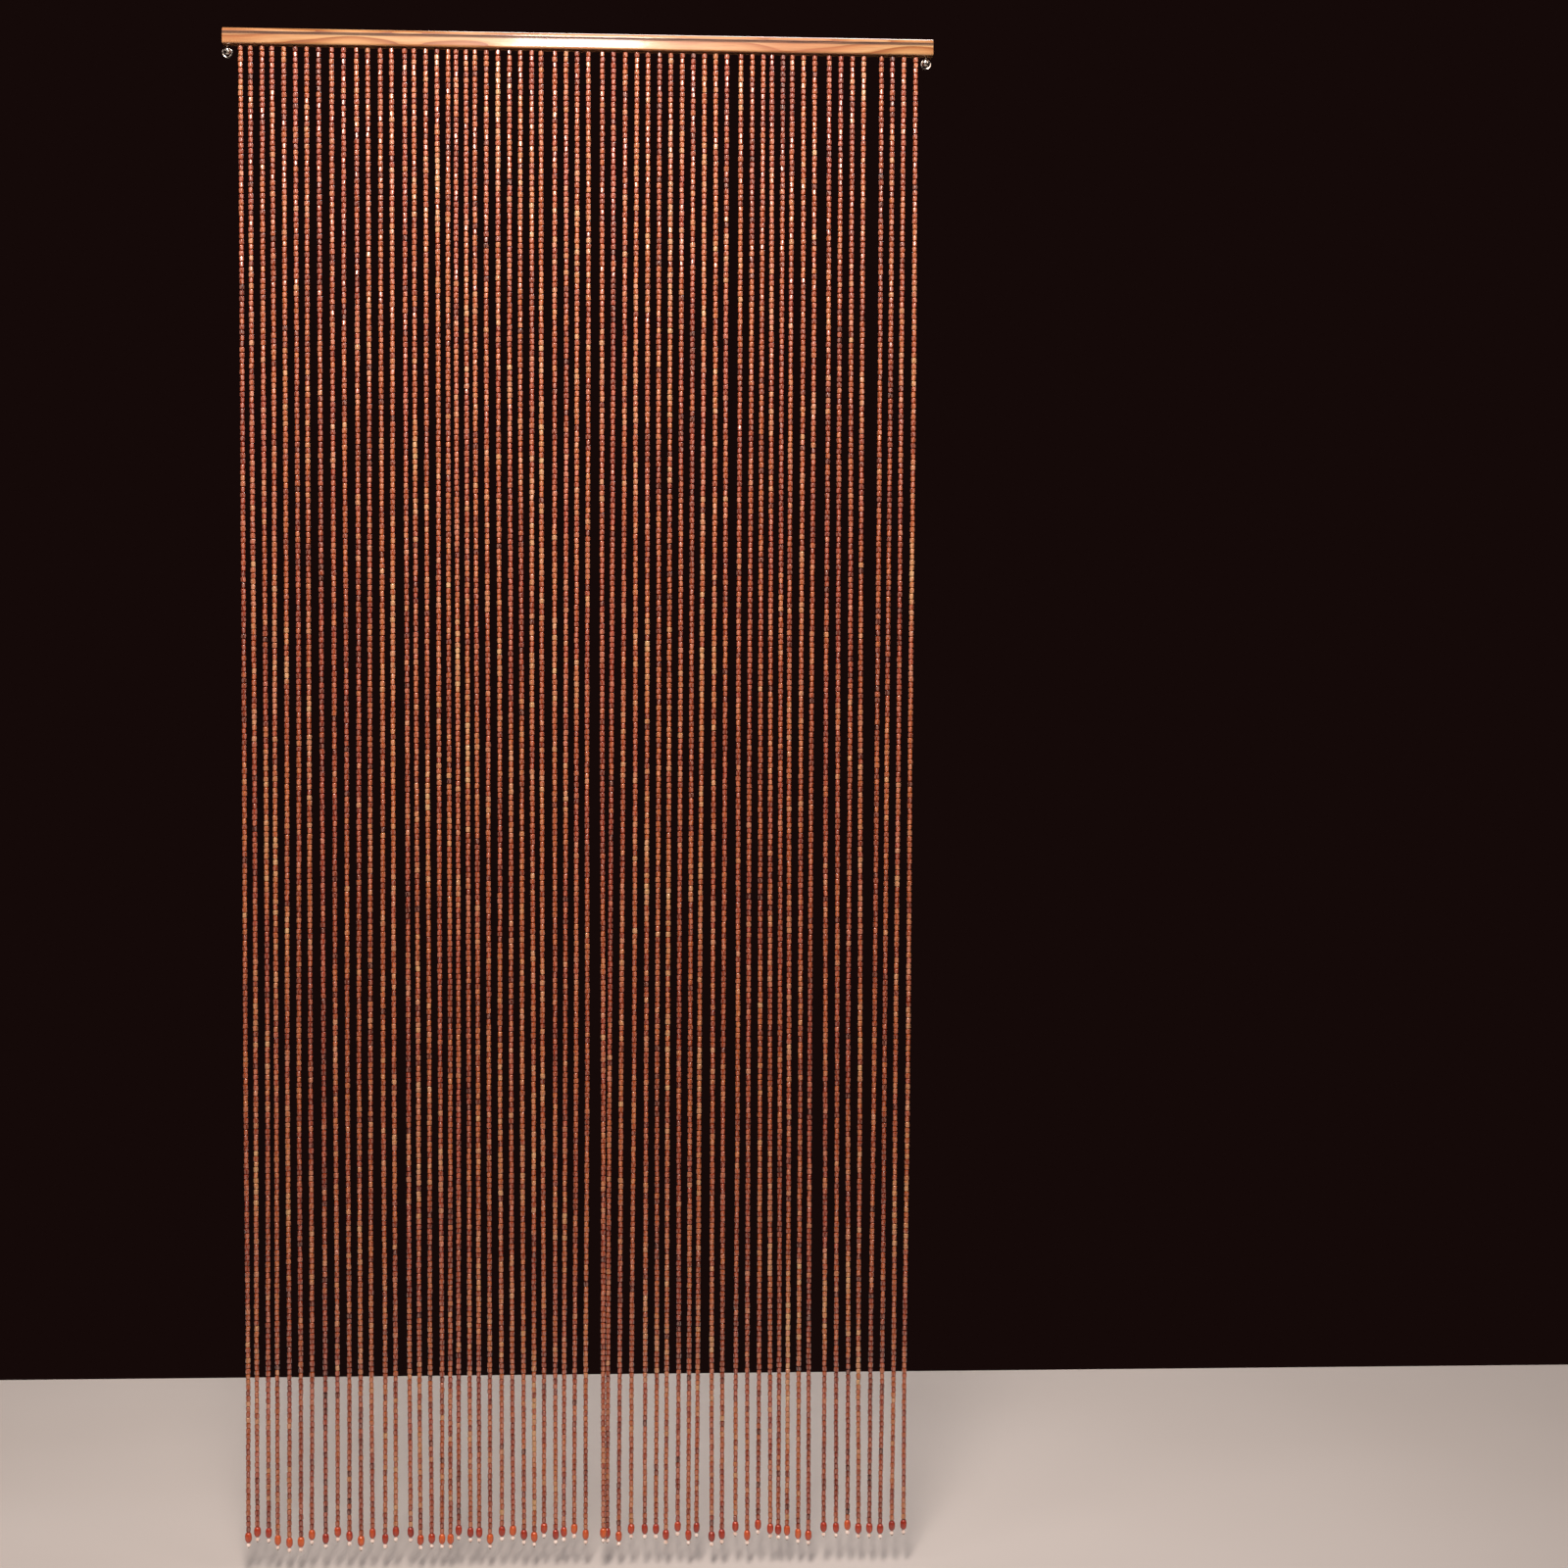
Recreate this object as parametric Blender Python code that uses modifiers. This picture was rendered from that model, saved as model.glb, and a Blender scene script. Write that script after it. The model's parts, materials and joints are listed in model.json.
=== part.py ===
"""A bead curtain for a doorway: strings of wooden beads hung from a varnished wooden rail.

The rail is fixed by two screw eyes under its ends, each held by a round-head screw. Its origin is
the middle of the rail's back face, which lies against the door frame: +Y points into the frame,
+X runs along the rail to the right as seen from the front, +Z is up. Lengths are in metres.
"""

import math
import random

import bmesh
import bpy
from mathutils import Euler, Vector

MM = 0.001
GAP = 0.3 * MM  # left between pieces that touch
MERGE = 0.01 * MM  # points nearer than this are one point
OVERSHOOT = 5 * MM  # how far a cutter runs past what it cuts

# The rail: a batten with a rounded top front edge.
RAIL_LENGTH = 900 * MM
RAIL_HEIGHT = 21 * MM
RAIL_DEPTH = 14 * MM
RAIL_TOP_ROUND = 7 * MM
RAIL_FOOT_ROUND = 2.2 * MM
RAIL_END_ROUND = 1.8 * MM
QUIRK_RADIUS = 0.7 * MM  # of the fine line cut under the rounded edge
QUIRK_SIDES = 8
GROOVE_WIDTH = 3.0 * MM
GROOVE_DEPTH = 4.0 * MM

# The strings of beads. The spine stands for the row of knotted string ends in the groove.
STRING_COUNT = 60
HUNG_WIDTH = 856 * MM  # from the first string to the last, along the rail
STRING_DROP = 1906 * MM  # beads from the rail's underside to a string's last small bead
STRING_RADIUS = 2.8 * MM  # of a run of small beads, seen as a six-sided rod
THREAD_RADIUS = 0.8 * MM  # of the knotted thread between the groove and the first bead
KNOT_RADIUS = 1.2 * MM  # of the knots above and below the stop ball
END_BEAD_RADIUS = 4.5 * MM
END_BEAD_LENGTH = 14 * MM
END_BEAD_SHOULDER = 2.8 * MM  # how far the end bead tapers at each end
STOP_BALL_RADIUS = 2.9 * MM
SPINE_HEIGHT = 3.0 * MM
STRING_SIDES = 6

# How evenly they hang.
SEED = 60
SPACING_JITTER = 0.6 * MM
SWAY = 0.8 * MM  # a string's own slight kinks, sideways and in depth
HEM_SWAY = 1.0 * MM
HEM_RAGGED = 8 * MM  # how much higher or lower than the rest a string may end
SWAY_STATIONS = (0.2, 0.45, 0.7, 0.9)  # shares of the drop where a string may bend
LEAN_POWER = 1.6  # a lean grows with this power of the depth
FOOT_PASSES = 20  # how often feet that crowd each other are pushed apart

# Gaps at the rail that are wider or narrower than the rest: the string they follow, and by how much.
UNEVEN_GAPS = [
    {"after": 1, "wider": -1.8 * MM},
    {"after": 3, "wider": -1.8 * MM},
    {"after": 8, "wider": 1.6 * MM},
    {"after": 10, "wider": 1.6 * MM},
    {"after": 12, "wider": 1.6 * MM},
    {"after": 14, "wider": 1.6 * MM},
    {"after": 15, "wider": -2.1 * MM},
    {"after": 19, "wider": -4.6 * MM},
    {"after": 20, "wider": -2.1 * MM},
    {"after": 21, "wider": -3.3 * MM},
    {"after": 27, "wider": -2.1 * MM},
    {"after": 28, "wider": 2.9 * MM},
    {"after": 32, "wider": 2.9 * MM},
    {"after": 44, "wider": 2.9 * MM},
    {"after": 47, "wider": -3.3 * MM},
    {"after": 49, "wider": -2.1 * MM},
    {"after": 52, "wider": 4.1 * MM},
    {"after": 56, "wider": 7.9 * MM},
]
# Strings that lean together towards the foot: the first and last of each group, how far their
# feet stand to the right of plumb, and how far in front (-) of or behind (+) the rail's middle.
LEANS = [
    {"first": 1, "last": 7, "right": -1.6 * MM, "back": 0.0},
    {"first": 15, "last": 18, "right": 3.0 * MM, "back": 0.0},
    {"first": 21, "last": 28, "right": 3.4 * MM, "back": 0.0},
    {"first": 29, "last": 29, "right": 2.0 * MM, "back": 0.0},
    {"first": 30, "last": 32, "right": -2.4 * MM, "back": 0.0},
    {"first": 33, "last": 33, "right": 3.6 * MM, "back": -6.6 * MM},
    {"first": 34, "last": 34, "right": -6.4 * MM, "back": 1.4 * MM},
    {"first": 35, "last": 36, "right": -5.2 * MM, "back": 0.0},
    {"first": 37, "last": 41, "right": -1.4 * MM, "back": 0.0},
    {"first": 42, "last": 42, "right": -4.2 * MM, "back": 0.0},
    {"first": 48, "last": 48, "right": 4.6 * MM, "back": 0.0},
    {"first": 49, "last": 52, "right": 1.0 * MM, "back": 0.0},
    {"first": 53, "last": 56, "right": 3.3 * MM, "back": 0.0},
    {"first": 57, "last": 60, "right": -3.6 * MM, "back": 0.0},
]

# The screw eyes under the rail's ends, and the screws through them.
EYE_INSET = {"left": 5.5 * MM, "right": 9.0 * MM}  # from the rail's end
EYE_DROP = 10.5 * MM  # from the rail's underside to the ring's middle
EYE_RING_RADIUS = 5.7 * MM  # to the middle of the wire
EYE_WIRE_RADIUS = 1.1 * MM
EYE_SHANK_RADIUS = 1.0 * MM
EYE_SHANK_IN_RAIL = 11.5 * MM
EYE_SEGMENTS = 24
EYE_WIRE_SIDES = 8
EYE_SHANK_SIDES = 12
SCREW_SHANK_RADIUS = 2.0 * MM
SCREW_HEAD_RADIUS = 4.8 * MM
SCREW_HEAD_HEIGHT = 3.0 * MM
SCREW_SLOT_WIDTH = 1.3 * MM
SCREW_SLOT_DEPTH = 1.2 * MM
SCREW_SLOT_ANGLE = {"left": 25.0, "right": -40.0}  # degrees, as the screws were left
SCREW_SEGMENTS = 20

# Worked out from the sizes above.
RAIL_TOP = RAIL_HEIGHT / 2
RAIL_FOOT = -RAIL_HEIGHT / 2
MID_DEPTH = -RAIL_DEPTH / 2  # the strings, the eyes and the groove are at the rail's middle
FIRST_X = -HUNG_WIDTH / 2
EYE_X = {
    "left": -RAIL_LENGTH / 2 + EYE_INSET["left"],
    "right": RAIL_LENGTH / 2 - EYE_INSET["right"],
}
EYE_Z = RAIL_FOOT - EYE_DROP
SCREW_Z = EYE_Z + EYE_RING_RADIUS - EYE_WIRE_RADIUS - SCREW_SHANK_RADIUS - GAP
LEAST_FOOT_SPACING = 2 * END_BEAD_RADIUS + 2 * GAP


# ---------------------------------------------------------------------------------------------
# Scene, collections and materials


def clear_scene():
    """Removes whatever objects the open file holds."""
    for obj in list(bpy.data.objects):
        bpy.data.objects.remove(obj, do_unlink=True)


def collection(name):
    """Makes a collection in the scene."""
    made = bpy.data.collections.new(name)
    bpy.context.scene.collection.children.link(made)
    return made


def put_in(target, obj):
    """Moves an object into one collection."""
    for holder in list(obj.users_collection):
        holder.objects.unlink(obj)
    target.objects.link(obj)


def material(name, colour, roughness, metallic=0.0):
    """Makes a Principled material of one colour."""
    made = bpy.data.materials.new(name)
    made.use_nodes = True
    shader = made.node_tree.nodes["Principled BSDF"]
    shader.inputs["Base Color"].default_value = (*colour, 1.0)
    shader.inputs["Roughness"].default_value = roughness
    shader.inputs["Metallic"].default_value = metallic
    return made


# ---------------------------------------------------------------------------------------------
# Modelling helpers


def as_cutter(obj):
    """Puts an object among the cutters, drawn as wire and left out of renders."""
    put_in(CUTTERS, obj)
    obj.display_type = "WIRE"
    obj.hide_render = True
    return obj


def box(name, size, middle):
    """A box from the cube primitive, with its size in the mesh."""
    bpy.ops.mesh.primitive_cube_add(size=1.0, location=middle)
    made = bpy.context.active_object
    made.name = name
    made.data.name = name
    made.scale = size
    bpy.ops.object.transform_apply(location=False, rotation=False, scale=True)
    return made


def rod(name, radius, length, middle, direction, sides):
    """A cylinder along X or Z."""
    turn = {"X": (0, math.pi / 2, 0), "Z": (0, 0, 0)}[direction]
    bpy.ops.mesh.primitive_cylinder_add(
        vertices=sides, radius=radius, depth=length, location=middle, rotation=turn
    )
    made = bpy.context.active_object
    made.name = name
    made.data.name = name
    return made


def boolean(obj, operation, other):
    """Adds an exact Boolean modifier."""
    modifier = obj.modifiers.new(operation.lower(), "BOOLEAN")
    modifier.operation = operation
    modifier.solver = "EXACT"
    modifier.object = other


def weld(obj):
    """Joins the points that a cut leaves within a hair of each other."""
    modifier = obj.modifiers.new("weld", "WELD")
    modifier.merge_threshold = MERGE


def mesh_from_curve(curve_object):
    """Turns a curve into a mesh object with its caps welded on, in the same place."""
    bpy.context.view_layer.update()
    graph = bpy.context.evaluated_depsgraph_get()
    mesh = bpy.data.meshes.new_from_object(curve_object.evaluated_get(graph))
    name = curve_object.name
    matrix = curve_object.matrix_world.copy()
    bpy.data.objects.remove(curve_object, do_unlink=True)
    shape = bmesh.new()
    shape.from_mesh(mesh)
    bmesh.ops.remove_doubles(shape, verts=shape.verts, dist=MERGE)
    shape.to_mesh(mesh)
    shape.free()
    mesh.name = name
    made = bpy.data.objects.new(name, mesh)
    made.matrix_world = matrix
    bpy.context.scene.collection.objects.link(made)
    return made


def shade(obj, surface, sharp_angle=35.0):
    """Gives an object its material and smooth shading with sharp edges kept."""
    obj.data.materials.clear()
    obj.data.materials.append(surface)
    obj.data.shade_smooth()
    obj.data.set_sharp_from_angle(angle=math.radians(sharp_angle))


def arc(middle, radius, start, end, steps):
    """Points on a circle from one angle to another, in degrees."""
    points = []
    for k in range(steps + 1):
        angle = math.radians(start + (end - start) * k / steps)
        points.append((middle[0] + radius * math.cos(angle), middle[1] + radius * math.sin(angle)))
    return points


# ---------------------------------------------------------------------------------------------
# The rail


def rail_section():
    """The rail's outline seen from its left end: depth across, height up, back face at 0."""
    points = [(0.0, RAIL_FOOT), (0.0, RAIL_TOP)]
    top_middle = (-RAIL_DEPTH + RAIL_TOP_ROUND, RAIL_TOP - RAIL_TOP_ROUND)
    points += arc(top_middle, RAIL_TOP_ROUND, 90.0, 180.0, 8)
    foot_middle = (-RAIL_DEPTH + RAIL_FOOT_ROUND, RAIL_FOOT + RAIL_FOOT_ROUND)
    points += arc(foot_middle, RAIL_FOOT_ROUND, 180.0, 270.0, 3)
    return points


def rail(surface):
    """The batten: its section run along X, ends eased, then the quirk, groove and pilot holes cut."""
    outline = bpy.data.curves.new("rail", "CURVE")
    outline.dimensions = "2D"
    outline.fill_mode = "BOTH"
    outline.extrude = RAIL_LENGTH / 2
    section = rail_section()
    spline = outline.splines.new("POLY")
    spline.points.add(len(section) - 1)
    for point, (depth, height) in zip(spline.points, section):
        point.co = (depth, height, 0.0, 1.0)
    spline.use_cyclic_u = True
    flat = bpy.data.objects.new("rail", outline)
    flat.rotation_euler = Euler((math.pi / 2, 0.0, math.pi / 2))
    bpy.context.scene.collection.objects.link(flat)
    made = mesh_from_curve(flat)

    ease_ends(made.data)
    ends = made.modifiers.new("eased ends", "BEVEL")
    ends.limit_method = "WEIGHT"
    ends.width = RAIL_END_ROUND
    ends.segments = 3

    quirk = rod(
        "quirk cutter",
        QUIRK_RADIUS,
        RAIL_LENGTH + 2 * OVERSHOOT,
        (0.0, -RAIL_DEPTH, RAIL_TOP - RAIL_TOP_ROUND),
        "X",
        QUIRK_SIDES,
    )
    boolean(made, "DIFFERENCE", as_cutter(quirk))
    groove = box(
        "groove cutter",
        (HUNG_WIDTH + 2 * STRING_RADIUS + 2 * GAP, GROOVE_WIDTH, GROOVE_DEPTH + OVERSHOOT),
        (0.0, MID_DEPTH, RAIL_FOOT + (GROOVE_DEPTH - OVERSHOOT) / 2),
    )
    boolean(made, "DIFFERENCE", as_cutter(groove))
    for x in EYE_X.values():
        depth = EYE_SHANK_IN_RAIL + GAP
        pilot = rod(
            "pilot hole cutter",
            EYE_SHANK_RADIUS + GAP,
            depth + OVERSHOOT,
            (x, MID_DEPTH, RAIL_FOOT + (depth - OVERSHOOT) / 2),
            "Z",
            EYE_SHANK_SIDES,
        )
        boolean(made, "DIFFERENCE", as_cutter(pilot))
    weld(made)
    put_in(CURTAIN, made)
    shade(made, surface)
    return made


def ease_ends(mesh):
    """Joins each end into one face, and weights its edges for the bevel, all but the back ones."""
    shape = bmesh.new()
    shape.from_mesh(mesh)
    bmesh.ops.dissolve_limit(
        shape, angle_limit=math.radians(1.0), verts=shape.verts, edges=shape.edges
    )
    weight = shape.edges.layers.float.new("bevel_weight_edge")
    # In the mesh's own axes X is the depth, with the back face at 0, and Z runs along the rail.
    for edge in shape.edges:
        ends = [v.co for v in edge.verts]
        at_end = all(abs(abs(p.z) - RAIL_LENGTH / 2) < MERGE for p in ends)
        at_back = all(abs(p.x) < MERGE for p in ends)
        edge[weight] = 1.0 if at_end and not at_back else 0.0
    shape.to_mesh(mesh)
    shape.free()


# ---------------------------------------------------------------------------------------------
# The strings of beads


def places_along_rail(chance):
    """The x of each string at the rail, from left to right."""
    wider = {row["after"]: row["wider"] for row in UNEVEN_GAPS}
    even = HUNG_WIDTH / (STRING_COUNT - 1)
    gaps = []
    for number in range(1, STRING_COUNT):
        jitter = chance.uniform(-SPACING_JITTER, SPACING_JITTER)
        gaps.append(even + wider.get(number, 0.0) + jitter)
    share = HUNG_WIDTH / sum(gaps)
    places = [FIRST_X]
    for gap in gaps:
        places.append(places[-1] + gap * share)
    return places


def feet_places(places, chance):
    """Where each string's foot hangs, as (x, y), with no two end beads inside each other."""
    feet = []
    for number, x in enumerate(places, start=1):
        foot = Vector((x + chance.uniform(-HEM_SWAY, HEM_SWAY), MID_DEPTH))
        foot.y += chance.uniform(-HEM_SWAY, HEM_SWAY)
        for row in LEANS:
            if row["first"] <= number <= row["last"]:
                foot += Vector((row["right"], row["back"]))
        feet.append(foot)
    for _ in range(FOOT_PASSES):
        for left, right in zip(feet, feet[1:]):
            apart = right - left
            short = LEAST_FOOT_SPACING - apart.length
            if short > 0:
                push = apart.normalized() * (short / 2)
                left -= push
                right += push
    return feet


def string_rings(place, foot, chance):
    """One string's centre line from the groove to its stop ball, as (point, radius) rings."""
    top = Vector((place, MID_DEPTH, RAIL_FOOT))
    drop = STRING_DROP + chance.uniform(-HEM_RAGGED, HEM_RAGGED)
    bend = []
    for _ in SWAY_STATIONS:
        bend.append(Vector((chance.uniform(-SWAY, SWAY), chance.uniform(-SWAY, SWAY), 0.0)))

    def at(depth, shift=Vector((0, 0, 0))):
        """The line's point at a depth under the rail."""
        share = min(depth / drop, 1.0)
        lean = Vector((foot.x - place, foot.y - MID_DEPTH, 0.0)) * share**LEAN_POWER
        return top + lean + shift - Vector((0, 0, depth))

    rings = [
        (top + Vector((0, 0, GROOVE_DEPTH - GAP - SPINE_HEIGHT / 2)), THREAD_RADIUS),
        (at(THREAD_RADIUS), THREAD_RADIUS),
        (at(THREAD_RADIUS + STRING_RADIUS / 2), STRING_RADIUS),
    ]
    for share, shift in zip(SWAY_STATIONS, bend):
        rings.append((at(share * drop, shift), STRING_RADIUS))
    end_of_bead = drop + END_BEAD_LENGTH
    ball = end_of_bead + STOP_BALL_RADIUS
    rings += [
        (at(drop), STRING_RADIUS),
        (at(drop + END_BEAD_SHOULDER), END_BEAD_RADIUS),
        (at(end_of_bead - END_BEAD_SHOULDER), END_BEAD_RADIUS),
        (at(end_of_bead), KNOT_RADIUS),
        (at(ball), STOP_BALL_RADIUS),
        (at(ball + STOP_BALL_RADIUS), KNOT_RADIUS),
    ]
    return rings


def cut_across(mesh, places):
    """Cuts a long box's faces across at these x, so that each part of it joins one string."""
    shape = bmesh.new()
    shape.from_mesh(mesh)
    for x in places:
        bmesh.ops.bisect_plane(
            shape,
            geom=shape.verts[:] + shape.edges[:] + shape.faces[:],
            plane_co=(x, 0.0, 0.0),
            plane_no=(1.0, 0.0, 0.0),
            dist=MERGE / 10,
        )
    shape.to_mesh(mesh)
    shape.free()


def bead_strings(surface):
    """The comb: 60 hanging strings, joined by the row of knots in the rail's groove."""
    chance = random.Random(SEED)
    places = places_along_rail(chance)
    feet = feet_places(places, chance)
    lines = bpy.data.curves.new("strings", "CURVE")
    lines.dimensions = "3D"
    lines.bevel_depth = 1.0  # each point's radius then is the real one
    lines.bevel_resolution = (STRING_SIDES - 4) // 2
    lines.use_fill_caps = True
    for place, foot in zip(places, feet):
        rings = string_rings(place, foot, chance)
        spline = lines.splines.new("POLY")
        spline.points.add(len(rings) - 1)
        for point, (where, radius) in zip(spline.points, rings):
            point.co = (*where, 1.0)
            point.radius = radius
    teeth_curve = bpy.data.objects.new("teeth", lines)
    bpy.context.scene.collection.objects.link(teeth_curve)
    teeth = as_cutter(mesh_from_curve(teeth_curve))

    spine = box(
        "bead_strings",
        (HUNG_WIDTH + 2 * STRING_RADIUS, GROOVE_WIDTH - 2 * GAP, SPINE_HEIGHT),
        (0.0, MID_DEPTH, RAIL_FOOT + GROOVE_DEPTH - GAP - SPINE_HEIGHT / 2),
    )
    cut_across(spine.data, [(a + b) / 2 for a, b in zip(places, places[1:])])
    boolean(spine, "UNION", teeth)
    put_in(CURTAIN, spine)
    shade(spine, surface)
    return spine


# ---------------------------------------------------------------------------------------------
# Screw eyes and screws


def screw_eye(side, surface):
    """A wire ring facing the door frame, on a shank that goes up into the rail."""
    bpy.ops.mesh.primitive_torus_add(
        major_radius=EYE_RING_RADIUS,
        minor_radius=EYE_WIRE_RADIUS,
        major_segments=EYE_SEGMENTS,
        minor_segments=EYE_WIRE_SIDES,
        location=(EYE_X[side], MID_DEPTH, EYE_Z),
        rotation=(math.pi / 2, math.pi / EYE_SEGMENTS, 0),
    )
    ring = bpy.context.active_object
    ring.name = "screw_eye_" + side
    ring.data.name = ring.name
    low = EYE_Z + EYE_RING_RADIUS
    high = RAIL_FOOT + EYE_SHANK_IN_RAIL
    shank = rod(
        "shank " + side,
        EYE_SHANK_RADIUS,
        high - low,
        (EYE_X[side], MID_DEPTH, (low + high) / 2),
        "Z",
        EYE_SHANK_SIDES,
    )
    boolean(ring, "UNION", as_cutter(shank))
    weld(ring)
    put_in(CURTAIN, ring)
    shade(ring, surface)
    return ring


def screw_profile():
    """Half of a round-head screw's outline, (radius, height) from the head's top to the shank's end."""
    height, radius = SCREW_HEAD_HEIGHT, SCREW_HEAD_RADIUS
    ball = (radius**2 + height**2) / (2 * height)
    edge = math.degrees(math.asin((ball - height) / ball))
    dome = arc((0.0, height - ball), ball, 90.0, edge, 6)
    shank_length = -MID_DEPTH + EYE_WIRE_RADIUS + GAP
    return dome + [(SCREW_SHANK_RADIUS, 0.0), (SCREW_SHANK_RADIUS, -shank_length), (0.0, -shank_length)]


def screw(side, surface):
    """A turned round-head screw with a slot, its shank ending at the plane of the rail's back."""
    name = "screw_" + side
    profile = bpy.data.meshes.new(name)
    points = [(radius, 0.0, height) for radius, height in screw_profile()]
    profile.from_pydata(points, [(k, k + 1) for k in range(len(points) - 1)], [])
    made = bpy.data.objects.new(name, profile)
    head_back = MID_DEPTH - EYE_WIRE_RADIUS - GAP
    made.location = (EYE_X[side], head_back, SCREW_Z)
    made.rotation_euler = (math.pi / 2, 0.0, 0.0)
    CURTAIN.objects.link(made)
    turn = made.modifiers.new("turned", "SCREW")
    turn.steps = SCREW_SEGMENTS
    turn.render_steps = SCREW_SEGMENTS
    turn.use_merge_vertices = True
    turn.merge_threshold = MERGE
    turn.use_smooth_shade = True
    slot = box(
        "slot cutter " + side,
        (2 * SCREW_HEAD_RADIUS + OVERSHOOT, 2 * SCREW_SLOT_DEPTH, SCREW_SLOT_WIDTH),
        (EYE_X[side], head_back - SCREW_HEAD_HEIGHT, SCREW_Z),
    )
    slot.rotation_euler = (0.0, math.radians(SCREW_SLOT_ANGLE[side]), 0.0)
    boolean(made, "DIFFERENCE", as_cutter(slot))
    weld(made)
    shade(made, surface)
    return made


# ---------------------------------------------------------------------------------------------

clear_scene()
CURTAIN = collection("bead_curtain")
CUTTERS = collection("cutters")
VARNISHED_PINE = material("varnished pine", (0.72, 0.36, 0.14), 0.2)
POLISHED_WOOD = material("polished wooden beads", (0.37, 0.09, 0.03), 0.25)
NICKEL = material("nickel-plated steel", (0.66, 0.63, 0.58), 0.2, metallic=1.0)
rail(VARNISHED_PINE)
bead_strings(POLISHED_WOOD)
for hand in ("left", "right"):
    screw_eye(hand, NICKEL)
    screw(hand, NICKEL)
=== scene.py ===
# %% [markdown]
# # A wooden bead curtain for a doorway
#
# A bead curtain is a wooden rail with many strings of beads hanging from it. People walk through
# it, air goes through it, and flies don't like it. This one has a varnished pine rail, sixty
# strings of small tumbled wooden beads, a larger oval bead at the foot of each string, and under
# that a small pale ball, which keeps the beads from sliding off the thread.
#
# The rail, the two screw eyes and their screws are already there as exact solids. Each string is
# there too, but only as a plain six-sided rod that shows where it hangs. This lesson threads the
# real beads onto those lines, sixteen thousand of them, and gives every surface its finish.

import json
import math

import bmesh
import bpy
import numpy as np
from mathutils import Euler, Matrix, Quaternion, Vector

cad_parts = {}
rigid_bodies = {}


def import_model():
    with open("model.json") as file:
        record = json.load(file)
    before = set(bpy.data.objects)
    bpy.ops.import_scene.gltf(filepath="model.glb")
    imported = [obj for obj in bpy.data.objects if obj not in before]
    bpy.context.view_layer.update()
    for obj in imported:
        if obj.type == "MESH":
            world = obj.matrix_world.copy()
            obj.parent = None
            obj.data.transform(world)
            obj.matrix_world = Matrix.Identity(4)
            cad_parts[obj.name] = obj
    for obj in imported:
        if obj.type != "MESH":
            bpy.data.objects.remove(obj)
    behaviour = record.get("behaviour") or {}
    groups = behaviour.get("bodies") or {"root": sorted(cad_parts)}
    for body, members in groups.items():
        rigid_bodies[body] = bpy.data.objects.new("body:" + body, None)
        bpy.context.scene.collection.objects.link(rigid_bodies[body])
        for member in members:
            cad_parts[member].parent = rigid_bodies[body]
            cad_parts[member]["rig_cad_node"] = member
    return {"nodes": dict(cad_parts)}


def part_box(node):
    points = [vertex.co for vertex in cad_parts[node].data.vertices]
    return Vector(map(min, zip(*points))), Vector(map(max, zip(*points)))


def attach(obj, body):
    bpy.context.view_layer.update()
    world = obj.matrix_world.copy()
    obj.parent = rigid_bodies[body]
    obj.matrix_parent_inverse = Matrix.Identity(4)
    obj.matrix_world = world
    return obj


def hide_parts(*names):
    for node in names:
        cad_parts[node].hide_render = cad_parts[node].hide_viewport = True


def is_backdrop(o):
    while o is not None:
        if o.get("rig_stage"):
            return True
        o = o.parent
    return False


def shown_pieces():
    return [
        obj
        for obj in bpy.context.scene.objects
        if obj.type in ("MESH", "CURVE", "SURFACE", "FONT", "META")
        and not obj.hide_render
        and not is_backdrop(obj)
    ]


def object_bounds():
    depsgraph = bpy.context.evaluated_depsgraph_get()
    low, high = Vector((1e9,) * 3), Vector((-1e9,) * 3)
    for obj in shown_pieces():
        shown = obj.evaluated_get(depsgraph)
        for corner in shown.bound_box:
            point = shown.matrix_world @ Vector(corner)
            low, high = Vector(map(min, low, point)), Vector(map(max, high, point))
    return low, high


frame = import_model()
CAD_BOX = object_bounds()
COMB = frame["nodes"]["bead_strings"]
RAIL_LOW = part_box("rail")[0]
print("solids:", sorted(frame["nodes"]))
print("box in metres:", [round(c, 4) for corner in CAD_BOX for c in corner])

# %% [markdown]
# ## Units, and one random number generator
#
# Everything is in metres, so a small factor lets the sizes below be read in millimetres. No two
# wooden beads are quite alike, and a seeded generator gives the same "unlike" beads at each run.

# %% Units and chance
MM = 0.001
CHANCE = np.random.default_rng(1906)

# %% [markdown]
# ## Where each string hangs
#
# The comb's teeth are the strings. Every tooth is a row of six-cornered rings, so the mean of
# each ring's corners is a point on the string's centre line. A tooth is found by cutting the
# comb off just under the rail: what hangs below falls apart into separate pieces, one a string.

# %% Take the comb apart into its teeth
RING_CORNERS = 6
CUT_UNDER_RAIL = 0.2 * MM


def comb_teeth():
    """The corner points of each tooth of the comb, one array a tooth, from left to right."""
    shape = bmesh.new()
    shape.from_mesh(COMB.data)
    bmesh.ops.remove_doubles(shape, verts=shape.verts, dist=0.001 * MM)
    cut = RAIL_LOW.z + CUT_UNDER_RAIL
    above = [v for v in shape.verts if v.co.z > cut]
    bmesh.ops.delete(shape, geom=above, context="VERTS")
    left = set(shape.verts)
    found = []
    while left:
        edge_of_search = [left.pop()]
        tooth = []
        while edge_of_search:
            vertex = edge_of_search.pop()
            tooth.append(tuple(vertex.co))
            for edge in vertex.link_edges:
                other = edge.other_vert(vertex)
                if other in left:
                    left.remove(other)
                    edge_of_search.append(other)
        found.append(np.array(tooth))
    shape.free()
    return sorted(found, key=lambda tooth: tooth[tooth[:, 2].argmax(), 0])


TEETH = comb_teeth()
print("strings:", len(TEETH), "corners a tooth:", {len(t) for t in TEETH})

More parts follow.
